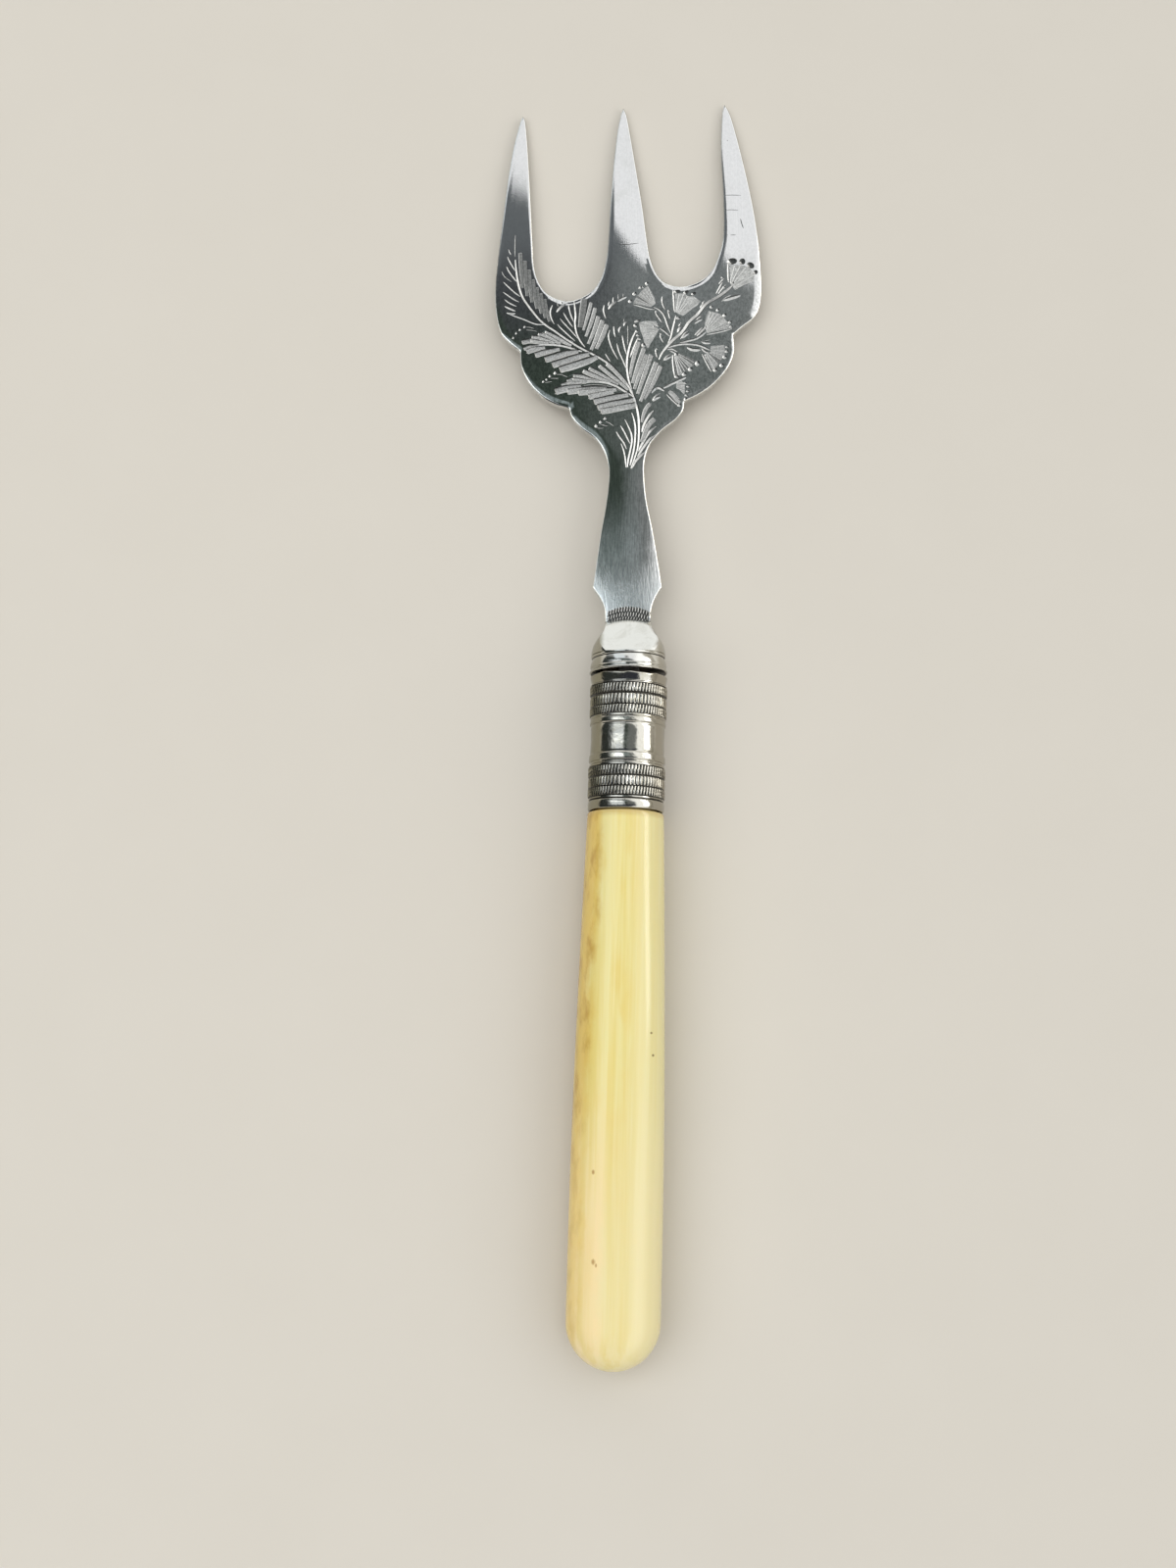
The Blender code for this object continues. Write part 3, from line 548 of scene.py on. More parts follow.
# ------------------------------------------------------------- engraved spray
# Each cut: kind, width in frame pixels, points in frame pixels. Kinds: "l" a narrow bright line, "s" a stem of even
# width, "b" a broad leaf bar that starts blunt, "g" the same but worn, "d" a faint line, "n" a nick.
CUTS = [
    # main stem, from the foot of the spray to the left tine
    ("s", 2.6, [(644, 478), (648, 467), (651, 457), (652.3, 445), (652.5, 434), (651.5, 422), (649, 411), (646, 403),
                (641, 393), (635, 385), (629, 378.5), (622, 371.5), (614, 366), (606, 361.5), (597, 357), (588, 352),
                (580, 347), (572, 341.5), (565, 336.5), (558, 332), (551, 326), (545, 319), (539, 311), (534, 303.5),
                (530.7, 295), (528.5, 285), (527, 275), (526, 265)]),
    ("d", 1.2, [(525.5, 262), (525.7, 250), (526, 240)]),
    # left tine: short strokes outside, long bars inside
    ("l", 1.3, [(519, 254.5), (520, 257), (521.5, 260)]),
    ("l", 1.5, [(518, 262), (521, 268), (526, 276.5)]),
    ("l", 1.6, [(517, 272), (520, 277.5), (524, 283), (528, 288)]),
    ("d", 1.4, [(512, 277), (515, 282), (522, 287.5)]),
    ("l", 1.6, [(514, 288), (519, 292.5), (525, 298), (531, 302.5)]),
    ("l", 1.5, [(513.5, 298), (518, 301), (524, 305), (529.5, 308)]),
    ("l", 1.6, [(515, 305.5), (520, 309), (527, 312.5)]),
    ("l", 2.2, [(515, 312.5), (520, 314.5), (526, 317.3)]),
    ("l", 2.0, [(517, 319.2), (521, 319.8), (526, 319.8)]),
    ("l", 1.5, [(518, 319.8), (524, 322), (534, 325.5), (545, 330), (551, 331), (557, 331)]),
    ("g", 3.2, [(531.2, 258), (532, 275), (533.3, 294)]),
    ("g", 3.4, [(535.6, 266), (536.5, 283), (538.2, 302)]),
    ("g", 3.2, [(540, 275), (541, 291), (543, 308.5)]),
    ("g", 3.2, [(544, 285), (545.6, 300), (548, 315)]),
    ("g", 3.2, [(548, 293), (549.6, 306), (552.6, 320)]),
    ("g", 3.0, [(552, 299), (553.6, 311), (556.6, 324.5)]),
    ("g", 2.8, [(556, 305), (557.6, 315), (560.6, 328)]),
    # sprig and upper fern of the left side
    ("l", 1.5, [(563.7, 311.5), (561.6, 318), (562.5, 324), (565.5, 330.5)]),
    ("l", 2.2, [(577.5, 310), (572.5, 313.5), (568, 318.5)]),
    ("d", 1.2, [(568.5, 309), (569.5, 312.5)]),
    ("s", 2.0, [(586, 307), (587, 315), (587.6, 322), (587, 330), (588.5, 339), (592, 347), (597, 354)]),
    ("l", 1.5, [(580, 310.5), (582, 319), (585.3, 328)]),
    ("l", 1.5, [(575, 319), (580, 327), (584.5, 333.5)]),
    ("l", 1.5, [(571.5, 325), (577, 331), (584, 338.5), (590, 345.5)]),
    ("l", 1.6, [(569, 331), (574, 336), (580, 341.5), (587, 348)]),
    ("l", 1.4, [(573, 341.5), (580, 346), (587, 350)]),
    ("g", 5.2, [(596.5, 304.5), (594.8, 318), (592.3, 334)]),
    ("b", 3.0, [(603.5, 308.5), (600, 322), (595.5, 337)]),
    ("b", 3.4, [(607.8, 314), (603.5, 329), (598, 343.5)]),
    ("b", 3.6, [(611, 322.5), (606.5, 337), (600.5, 351)]),
    ("b", 4.0, [(615.2, 326.5), (609.5, 343), (603.5, 357)]),
    ("b", 4.2, [(619.6, 331), (614.5, 344), (608.7, 356)]),
    # second leaf
    ("s", 2.6, [(544, 352.6), (552, 351.6), (561, 351.3), (570, 352), (579, 353.8), (587, 356.3), (594, 358.5)]),
    ("b", 3.6, [(532.5, 349.2), (541, 347.8), (550, 348.9), (560, 350)]),
    ("b", 3.6, [(542.5, 344), (549, 344.6), (557, 347.2), (566, 350.2)]),
    ("b", 3.6, [(549, 341), (555, 342), (562, 345.5), (572, 350.5)]),
    ("b", 4.0, [(556, 339), (563, 342), (572, 346.6), (583, 352.6)]),
    ("b", 3.0, [(534.5, 356.2), (541, 353.8), (550, 352.8)]),
    ("b", 4.2, [(537.5, 358.8), (545, 356.3), (556, 354.3)]),
    ("b", 4.4, [(546, 362.3), (555, 359.6), (571, 355.8)]),
    ("b", 5.2, [(556, 366.8), (566, 363.8), (580, 359.8), (590, 358.6)]),
    ("b", 5.4, [(563.5, 372.2), (575, 368.8), (590, 363.8), (601, 361)]),
    ("b", 5.4, [(571, 377.2), (581, 374), (596, 369), (609, 364.3)]),
    ("l", 1.2, [(573, 379.8), (585, 376.6), (600, 371.2), (610.5, 365.8)]),
    ("l", 1.2, [(537, 360.2), (545, 358.4), (553, 356.4)]),
    ("l", 1.2, [(546, 364.3), (556, 361.5), (570, 357.4)]),
    ("l", 1.2, [(556, 369.3), (567, 366), (581, 361.4), (591, 359.3)]),
    # third leaf
    ("s", 2.8, [(594, 391), (603, 389.2), (613, 389.2), (622, 391), (630, 394.2), (638, 399), (646, 404)]),
    ("b", 3.0, [(573, 393.3), (580, 391), (589, 390.6), (598, 390)]),
    ("b", 3.0, [(578.5, 389), (586, 387.4), (596, 388.4), (607, 389)]),
    ("b", 3.4, [(585, 383.4), (592, 383.6), (601, 386.4), (611, 389)]),
    ("b", 3.8, [(595, 378.3), (602, 381.4), (612, 385.8), (623, 390.4)]),
    ("b", 3.4, [(601, 375.6), (610, 380.2), (620, 385.8), (631, 392.6)]),
    ("b", 3.4, [(611.5, 373), (618, 378.3), (626, 384.8), (634, 391.2), (641, 397.5)]),
    ("b", 3.2, [(619, 371.3), (626, 377.3), (634, 385.8), (640, 393.5)]),
    ("b", 5.4, [(566.5, 399.3), (573, 397.4), (582, 395.6), (593, 394)]),
    ("b", 4.6, [(579, 399.6), (590, 398), (605, 396.2), (619, 395.8)]),
    ("b", 4.6, [(590, 400.4), (602, 399.4), (616, 398), (629, 397)]),
    ("b", 4.6, [(600.5, 404.8), (612, 402.4), (626, 399.4)]),
    ("b", 5.0, [(606, 409.8), (618, 407.2), (632, 403.9), (641, 402.5)]),
    ("b", 5.2, [(609.5, 415.6), (622, 412.8), (635, 410), (646.5, 407.5)]),
    ("b", 4.8, [(613, 419.6), (625, 417.6), (639, 414.3), (648, 412.5)]),
    ("l", 1.3, [(612, 421.8), (625, 420.2), (640, 417.2), (649.5, 415.8)]),
    ("l", 1.2, [(566, 401.8), (572, 401), (580, 398.9)]),
    ("l", 1.2, [(579, 402), (590, 401.2)]),
    ("l", 1.2, [(590, 402.6), (600, 402.4)]),
    ("l", 1.2, [(600, 406.6), (610, 405.2), (618, 403)]),
    ("d", 1.2, [(590, 395), (600, 392.6), (612, 392.4), (624, 394.5), (634, 399)]),
    # faint sprays beside the leaves
    ("d", 1.2, [(537, 333.6), (541, 333.8), (545, 335.3)]),
    ("d", 1.2, [(537, 336.6), (543, 336.9), (548, 338.2)]),
    ("d", 1.3, [(568, 382), (573, 382), (579, 384.6)]),
    ("d", 1.3, [(562, 385.8), (566, 385.8), (570, 386)]),
    ("d", 1.2, [(556, 390.3), (560, 389.6), (563, 389.2)]),
    ("d", 1.3, [(618, 430), (622, 431.5), (626.5, 434.8)]),
    ("d", 1.3, [(612, 432.3), (616, 433.6), (620, 434.6)]),
    ("d", 1.2, [(608, 436.2), (612, 436.8), (616, 436.6)]),
    # foot of the spray
    ("l", 1.8, [(629, 440.5), (633, 446.5), (637, 452), (639.4, 458)]),
    ("l", 1.7, [(633.5, 434.5), (637, 440), (640.5, 447), (643, 452.5)]),
    ("s", 1.9, [(637.8, 428), (641, 434), (644.3, 441.5), (645.2, 449.5), (643.8, 458), (641.8, 467), (640.2, 477)]),
    ("s", 2.0, [(644.8, 421), (647, 427), (648.6, 435), (648.6, 445), (647.6, 456), (645.5, 466), (643, 475)]),
    ("l", 1.5, [(633.8, 452.5), (636.5, 459), (638.2, 467), (639, 477)]),
    ("b", 3.4, [(664, 411.5), (660, 416), (657, 423), (655, 431)]),
    ("l", 2.3, [(667, 418.8), (662.5, 424.3), (658, 432), (655, 441)]),
    ("b", 4.2, [(668.5, 427.5), (663, 432.5), (659, 440), (655, 451)]),
    ("l", 2.3, [(669.5, 435.2), (663, 441), (657, 450.5), (651.5, 460.5)]),
    ("l", 2.3, [(669.5, 443.8), (663, 448.5), (657, 456.5), (650.5, 466)]),
    ("l", 2.4, [(658.3, 461.2), (652.5, 466.7), (648, 472), (645, 477.5)]),
    # middle fern
    ("s", 2.3, [(649, 337.5), (645.3, 346), (642.3, 355.5), (640.4, 366), (640.2, 376), (641.6, 386), (644.2, 396),
                (647, 404)]),
    ("l", 1.6, [(651.3, 344.5), (647.3, 353.5), (643.2, 364.5)]),
    ("l", 1.5, [(622.3, 337), (621, 342.5), (623, 351), (626, 358), (630.5, 366.5)]),
    ("l", 1.3, [(626.4, 333), (626.9, 339), (628, 344)]),
    ("l", 1.5, [(629.5, 350.5), (632, 359), (636, 368), (640, 377.5)]),
    ("l", 1.5, [(635, 342.5), (637, 352), (639.3, 361.5)]),
    ("d", 1.3, [(640.6, 332), (641, 342), (640.5, 352)]),
    ("l", 1.5, [(616.6, 311.5), (616, 317), (618.3, 325)]),
    ("l", 1.3, [(617.8, 361), (620.5, 365), (623, 369)]),
    ("b", 3.6, [(652.3, 348.5), (648.3, 360.5), (645, 373.5), (643, 385)]),
    ("b", 3.8, [(657.5, 355), (653.3, 367), (649, 380), (645.5, 391)]),
    ("b", 4.0, [(659.8, 361.5), (656.3, 372), (652, 384), (647.5, 397)]),
    ("b", 4.2, [(664.8, 361.8), (661, 373), (656.5, 386), (651, 402)]),
    ("b", 4.2, [(670, 369.3), (665.8, 380.5), (660.5, 393.5), (653.8, 409.5)]),
    ("b", 3.8, [(674.5, 373.2), (670, 384), (664, 396), (657.5, 407)]),
    # sprigs over the middle fern
    ("l", 2.3, [(620.8, 315.5), (624, 311.3), (629.2, 307.6)]),
    ("l", 2.3, [(630.3, 307.6), (634, 305), (639.3, 302.8)]),
    ("l", 1.2, [(621.7, 307.8), (620.6, 312)]),
    ("l", 1.2, [(625.9, 303.5), (625.4, 309)]),
    ("d", 1.2, [(631, 300), (631, 305.5)]),
    ("d", 1.2, [(636, 299.7), (636, 303.5)]),
    ("l", 1.6, [(631.6, 339.3), (632, 335.6), (634.4, 333)]),
    ("l", 1.8, [(636.5, 332.6), (637.5, 330), (640, 328.4)]),
    ("d", 1.1, [(636.6, 325.5), (636.6, 328.5)]),
    # flower stems
    ("s", 3.0, [(672.5, 367), (675.3, 361), (679.5, 355.5), (684, 350.3), (689, 345.5), (694.3, 341), (699, 335.3),
                (702.3, 330), (706.5, 325.7), (711, 322), (715, 317.3), (719, 312), (724, 308), (730, 304.8),
                (736, 301), (742, 296.5), (748, 291)]),
    ("s", 2.2, [(681, 355), (688, 352.4), (696, 351), (705, 351), (713, 352.2), (719, 354.5), (724.5, 357.2)]),
    ("s", 2.2, [(694, 349.8), (702, 347.6), (709, 346), (714.5, 343), (720.5, 338.2)]),
    ("l", 1.6, [(709, 342), (713, 338), (716.8, 334.3)]),
    ("l", 1.7, [(711, 343), (716, 338.3), (720.5, 334)]),
    ("l", 2.2, [(716, 349), (720, 349.9), (725, 350)]),
    ("d", 1.2, [(715, 348.6), (720, 347.4), (725, 346)]),
    ("l", 3.2, [(701, 354.4), (707, 356.6), (714.5, 357)]),
    ("l", 1.8, [(716, 355.5), (719.8, 358.8), (723.5, 360)]),
    ("l", 1.7, [(681, 356.5), (686, 356), (691.2, 358.8)]),
    ("l", 1.5, [(683.5, 357.7), (687.5, 359.4), (690, 361)]),
    ("l", 1.3, [(677, 367.8), (680, 364), (684.3, 361.3)]),
    ("l", 2.3, [(677.5, 367.5), (681, 365.3), (685, 363.6)]),
    ("l", 2.2, [(691.3, 339), (693.3, 335.3), (696.3, 333.4)]),
    ("l", 1.4, [(692.3, 333.3), (693.8, 331), (695, 329.3)]),
    ("l", 1.3, [(694.5, 346), (698.5, 340.5), (702.5, 337.5)]),
    ("l", 2.2, [(696, 345), (699.5, 342), (703, 340)]),
    ("l", 2.2, [(708.8, 330), (712.8, 327.2), (716.3, 325.8)]),
    ("l", 1.3, [(710.5, 326.5), (713.5, 324), (716.5, 321.8)]),
    ("l", 1.5, [(714.3, 314.3), (716.7, 310.8), (719.4, 309)]),
    ("l", 1.3, [(716, 310.8), (717.3, 308.7), (718.8, 306.8)]),
    ("l", 1.7, [(667, 313.3), (671.5, 315.2), (676, 319.3), (679, 325), (681.2, 332), (684.5, 340)]),
    ("l", 1.4, [(646, 310.7), (653, 312.3), (661, 314.7), (668, 315.7)]),
    ("l", 1.6, [(689.8, 322), (688, 330), (686.3, 337), (684.7, 344), (681.5, 350.5)]),
    ("l", 1.5, [(673.3, 334.8), (678, 338), (683.8, 343.3)]),
    ("l", 1.4, [(675.7, 302.5), (675.6, 308), (677, 312.3), (678.8, 316)]),
    ("l", 1.3, [(681.3, 317.2), (682.5, 320.5), (683.5, 325.3)]),
    ("l", 1.5, [(668.7, 318), (670, 321), (673, 325.2), (675.2, 329)]),
    ("l", 1.3, [(674, 341), (673.8, 343.3), (675.5, 346.8), (677, 349.5)]),
    ("l", 1.3, [(669.6, 355.6), (669, 358.4), (670.7, 365)]),
    ("l", 1.3, [(730.8, 299.7), (734.5, 292.8), (737.3, 288)]),
    ("l", 1.4, [(733, 299.8), (736.7, 295), (740.3, 290.5)]),
    ("l", 1.4, [(733.5, 289.8), (736.5, 286.4), (739, 284)]),
    ("l", 1.3, [(736.3, 307.6), (740.5, 303.3), (746, 301)]),
    ("l", 3.2, [(738, 306.6), (745, 304.3), (751, 302.6), (755.5, 301.3)]),
    ("l", 1.4, [(721, 341.3), (728, 340), (737, 338), (747, 335.3)]),
    ("l", 1.5, [(716.4, 361.3), (721, 370), (726, 379.3)]),
    ("l", 1.5, [(686.4, 362), (687, 373), (688.8, 385.5)]),
    ("s", 2.6, [(677, 396), (682, 393.2), (688, 390.3), (694, 387.6), (700, 385)]),
    ("l", 1.5, [(680.3, 402.3), (687, 409), (694, 415)]),
    ("l", 2.3, [(664.8, 401), (668.5, 396.6), (673, 395.8), (678, 399)]),
    ("l", 1.4, [(665.7, 408.5), (669, 404.2), (674, 401.3)]),
    ("l", 2.4, [(666, 409.2), (669.5, 406.4), (673.7, 404.9)]),
    ("l", 1.6, [(686.8, 296), (687.6, 306), (688.4, 318.5)]),
    ("l", 1.5, [(743, 268), (743, 278), (743.4, 288)]),
    # nicks and cross scratches on the tines
    ("n", 1.7, [(741.8, 143), (742.8, 143.4)]),
    ("n", 1.1, [(735.5, 163.2), (737.6, 163.4)]),
    ("n", 0.9, [(755.6, 223), (756.6, 227.2), (758.6, 232.8)]),
    ("n", 0.6, [(739.6, 199.2), (747, 199), (756, 199.2)]),
    ("n", 0.6, [(740.2, 214.2), (747, 214), (753.4, 214.3)]),
    ("n", 0.6, [(745, 239.8), (751, 239.6)]),
    ("n", 0.7, [(632, 249.4), (642, 249), (651.5, 248)]),
]

# petals: scraped fans, each with its outline and the point that its hatching runs from
FANS = [
    ([(646, 309.3), (649.5, 302.5), (655, 296.3), (661, 291.5), (665, 298), (668.3, 305), (669, 310), (664, 313.2),
      (655, 311.5)], (671, 315)),
    ([(652, 329.3), (658, 327.6), (669.5, 327.6), (671, 331), (668.5, 333.5), (672.6, 336), (668, 344), (661, 355.5),
      (657.5, 350), (655.7, 343), (653.3, 337)], (676, 337)),
    ([(688.8, 299.5), (697, 299.3), (703, 302.2), (708, 302.5), (714.8, 307.5), (711.5, 311.5), (705, 316.3),
      (697, 322.2), (692, 320.3), (689, 318)], (689, 324)),
    ([(723, 317), (727, 318), (735, 320.5), (741, 327), (747, 335), (735, 337.3), (721.5, 340), (719.5, 335),
      (719, 330), (721, 322)], (717, 341)),
    ([(744.5, 271.5), (752, 270.2), (760, 271), (766, 274.2), (770, 280.5), (768, 287), (760, 290), (750, 296),
      (745, 289)], (743, 296)),
    ([(725, 353), (739, 352), (740, 358), (739, 363.5), (734, 370), (731, 374), (727.4, 378), (722.4, 370),
      (717.8, 361.8), (725, 359)], (718, 356)),
    ([(687.8, 361.3), (692, 360.6), (700, 363), (709, 367), (709, 371), (704, 376), (698, 380), (693, 383.3),
      (689.3, 384), (688, 372)], (687, 358)),
    ([(690, 390.6), (696, 389), (698.5, 392), (699, 397), (698.3, 403), (694, 398), (690, 396)], (684, 393)),
    ([(681.5, 400.5), (683.5, 398), (687, 399.5), (692, 405), (695, 409), (693.5, 412.6), (688, 408.2)], (678, 396)),
]

# tone of each petal's eight hatched sectors: p pale, g grey, d dim
PETAL_STREAKS = ["gggggdgg", "pppppppp", "pppppgpp", "ggpgggpg", "pppppgpp", "gggdgggg", "dgdddgdd", "ppgppgpp", "dggdgppg"]

# round thumb cuts along the petals and in the sprigs: middle, length, width (frame pixels), angle in degrees
SCOOPS = [
    (643, 307.3, 5.0, 3.4, 40), (647.5, 299.7, 5.2, 3.8, 45), (653.5, 293.3, 4.4, 2.6, 30), (660, 289.3, 4.6, 3.6, 60),
    (650.5, 327.5, 7.5, 2.6, 20), (648.2, 332.3, 4.2, 4.0, 0), (649.6, 338, 3.6, 2.8, 70), (651, 342.2, 3.4, 2.4, 10),
    (653, 346, 3.6, 2.2, 10), (656.6, 352.3, 5.0, 4.6, 60), (667, 333.6, 3.0, 2.4, 60), (671.3, 332.4, 4.4, 2.2, 0),
    (669.7, 317.6, 3.0, 1.8, 0), (682.6, 317, 3.2, 2.0, 0), (692.3, 324.6, 5.0, 3.0, 10), (674.6, 340.8, 3.0, 1.8, 20),
    (670.4, 356, 2.6, 1.8, 0), (691, 297.4, 7.5, 4.2, 10, 1), (700, 298.2, 6.4, 4.2, 35, 1), (707.8, 299.6, 5.6, 3.8, 30, 1),
    (725.8, 313.4, 4.0, 3.4, 40), (732.3, 316.3, 4.4, 3.0, 45), (739.3, 321.8, 5.0, 3.4, 40), (744.8, 328.7, 5.0, 2.8, 30),
    (746, 333.4, 4.0, 2.2, 20), (747, 266.6, 11.0, 7.4, 10, 1), (757.4, 266.8, 7.6, 6.6, 70, 1), (766, 270.6, 8.4, 6.8, -40, 1),
    (771, 277.6, 5.4, 4.6, 60, 1), (747.3, 288.6, 4.0, 2.6, 10), (738.7, 293, 4.6, 2.4, 55), (737, 283.2, 3.0, 1.8, 20),
    (742, 354.2, 4.2, 2.2, 5), (741.6, 358.7, 4.4, 3.0, 20), (739.6, 364.4, 5.0, 4.0, 20), (736.4, 372.7, 5.6, 4.0, 40),
    (729.7, 377.5, 5.4, 4.0, 30), (711.6, 370.8, 6.6, 5.0, 60), (704.4, 376.8, 6.0, 4.4, 40), (698.2, 382, 5.6, 3.8, 30),
    (690.6, 384.6, 5.4, 3.2, 10), (690, 362, 5.0, 3.8, 40), (702.4, 394.5, 4.4, 2.2, 0), (701.8, 399.2, 4.4, 2.2, 10),
    (700.4, 403.5, 3.8, 2.2, 0), (693.2, 413.3, 4.4, 3.2, 30), (699.3, 391, 3.6, 2.2, 0), (699.3, 407, 3.4, 2.8, 40),
    (523.9, 344.6, 3.6, 1.9, 55), (526.9, 340, 3.6, 1.9, 60), (530.8, 336.3, 3.8, 2.0, 50), (535.6, 333.3, 4.2, 2.0, 50),
    (554.7, 389.2, 4.0, 2.0, 45), (557.8, 387.2, 3.2, 1.9, 50), (561.2, 383.7, 4.0, 2.4, 55), (566.7, 380.4, 5.0, 2.8, 55),
    (608.6, 434.4, 5.0, 3.0, 45), (613, 430.4, 4.8, 2.6, 45), (617.8, 426.8, 5.2, 2.6, 40),
    (573, 309.4, 3.6, 2.4, 90), (577, 307.4, 2.6, 2.0, 0), (656, 293, 2.6, 1.8, 120), (719.8, 334, 2.6, 2.2, 30),
]

# three short milled rows where the neck meets the bolster, on dark ground
MILLED = []
for k, (top, foot) in enumerate(((618.7, 623.6), (624.7, 628.6), (629.4, 631.8))):
    for i in range(16):
        px = 620.6 + 2.82 * i + 0.6 * k
        arch = 4.6 * ((px - 641.4) / 21.0) ** 2
        CUTS.append(("m", 1.55 - 0.15 * k, [(px + 0.5, top + arch), (px - 0.3, foot + 0.95 * arch)]))
row = [(620.0 + 3.0 * i, 4.6 * ((620.0 + 3.0 * i - 641.4) / 21.0) ** 2) for i in range(15)]
MILLED = [(px, 619.4 + arch) for px, arch in row] + [(px, 634.0 + 0.9 * arch) for px, arch in reversed(row)]

LIGHT_SIDE = np.array((0.80, 0.60))  # the wide facet of each cut leans this way
PLATE, BRIGHT, GREY, DARK, DIM, PETAL, RIM = range(7)


class Cut:
    """One graver cut along a curve: depth anywhere, and the lines of its mesh."""

    PROFILE = {"l": (0.34, 0.45), "s": (0.34, 0.4), "b": (0.20, 0.80), "g": (0.16, 0.80), "d": (0.2, 0.2), "m": (0.42, 0.2),
               "n": (0.3, 0.0), "h": (0.2, 0.2)}  # depth over width, place of the valley
    BURR = -0.74  # a broad bar starts with a narrow bright facet

    def __init__(self, kind, width, line):
        self.kind = kind
        self.broad = kind in "bg"
        self.line = np.array(line)
        if self.broad:
            step = self.line[1] - self.line[0]
            self.line = np.vstack((self.line[:1], self.line[:1] + step / np.linalg.norm(step) * 0.11, self.line[1:]))
        seg = np.linalg.norm(np.diff(self.line, axis=0), axis=1)
        t = np.concatenate(([0.0], np.cumsum(seg))) / seg.sum()
        run = self.line[-1] - self.line[0]
        lengthwise = abs(run[1]) / np.linalg.norm(run)
        width = width * {"b": 1.66 - 0.38 * lengthwise, "g": 1.5, "l": 1.3, "s": 1.2}.get(kind, 1.0)
        if kind == "s":
            shape = np.minimum(1.0, 0.45 + 3.0 * np.minimum(t, (1 - t) * 2.0))
        elif self.broad:
            shape = 1.0 - 0.3 * ease(0.4, 1.0, t)
            shape[0] = 0.66
        elif kind in "mh":
            shape = np.ones_like(t)
        else:
            shape = np.minimum(1.0, 0.35 + 3.2 * np.minimum(t, 1 - t))
        self.half = 0.5 * width * PX * shape
        deep, self.valley = self.PROFILE[kind]
        self.deep = deep * 2 * self.half
        tangent = np.gradient(self.line, axis=0)
        tangent /= np.linalg.norm(tangent, axis=1)[:, None]
        self.left = np.stack((-tangent[:, 1], tangent[:, 0]), 1)
        if self.broad:  # scraped flatter where it runs lengthwise
            self.deep = self.deep * (1.2 - 0.62 * np.abs(self.left[:, 0]))
        elif kind in "ls":  # and narrow cuts flatter where they run across
            self.deep = self.deep * (0.46 + 0.38 * np.abs(self.left[:, 0]))
        self.sign = 1 if float((self.left.mean(0) * LIGHT_SIDE).sum()) > 0 else -1
        reach = self.half.max() + 0.05
        self.low, self.high = self.line.min(0) - reach, self.line.max(0) + reach

    def rows(self):
        """Lines along the cut: its two edges, its valley and the foot of the burr."""
        marks = [1.0, self.valley, self.BURR, -1.0] if self.broad else [1.0, self.valley, -1.0]
        return [self.line + self.left * (self.half * u * self.sign)[:, None] for u in marks]

    def depth(self, points):
        """Depth under the face and which facet: 0 the wide one, 1 the steep one, 2 the burr."""
        a, b = self.line[:-1], self.line[1:]
        ab = b - a
        ap = points[:, None, :] - a[None]
        raw = (ap * ab[None]).sum(2) / (ab ** 2).sum(1)[None]
        t = np.clip(raw, 0.0, 1.0)
        diff = ap - t[..., None] * ab[None]
        best = (diff ** 2).sum(2).argmin(1)
        rows = np.arange(len(points))
        t, raw = t[rows, best], raw[rows, best]
        mix = lambda v: v[best] * (1 - t) + v[best + 1] * t
        off = diff[rows, best]
        n = self.left[best] * (1 - t)[:, None] + self.left[best + 1] * t[:, None]
        u = self.sign * (off * n).sum(1) / np.maximum(mix(self.half), 1e-6)
        along = np.sqrt((ab[best] ** 2).sum(1))
        past = np.maximum(np.maximum(-raw, raw - 1.0), 0.0) * along
        if self.broad:
            rise = np.interp(u, (-1.0, self.BURR, self.valley, 1.0), (0.0, 0.35, 1.0, 0.0))
        else:
            rise = np.interp(u, (-1.0, self.valley, 1.0), (0.0, 1.0, 0.0))
        d = np.where(past > 0.02, 0.0, mix(self.deep) * rise)
        facet = np.where(u < self.valley, 0, 1)
        if self.broad:
            facet = np.where((facet == 0) & ((u < self.BURR) | (best == 0)), 2, facet)
        return d, facet


class Scoop:
    """A round-bottomed thumb cut."""

    def __init__(self, px, py, length, width, angle, dull=0):
        self.dull = dull
        self.middle = np.array(at(px, py))
        self.a, self.b = 0.5 * length * PX, 0.5 * width * PX
        self.deep = 0.42 * self.b
        c, s = math.cos(math.radians(angle)), math.sin(math.radians(angle))
        self.axes = np.array(((c, s), (-s, c)))
        self.low, self.high = self.middle - self.a - 0.02, self.middle + self.a + 0.02

    def ring(self, k, count):
        ang = 2 * math.pi * np.arange(count) / count
        local = np.stack((self.a * np.cos(ang), self.b * np.sin(ang)), 1) * k
        return self.middle + local @ self.axes

    def depth(self, points):
        local = (points - self.middle) @ self.axes.T
        r2 = (local[:, 0] / self.a) ** 2 + (local[:, 1] / self.b) ** 2
        side = (points - self.middle) @ LIGHT_SIDE
        return self.deep * np.clip(1 - r2, 0.0, 1.0), np.where(side < (-0.5 if self.dull else 0.45) * self.b, 0, 1)


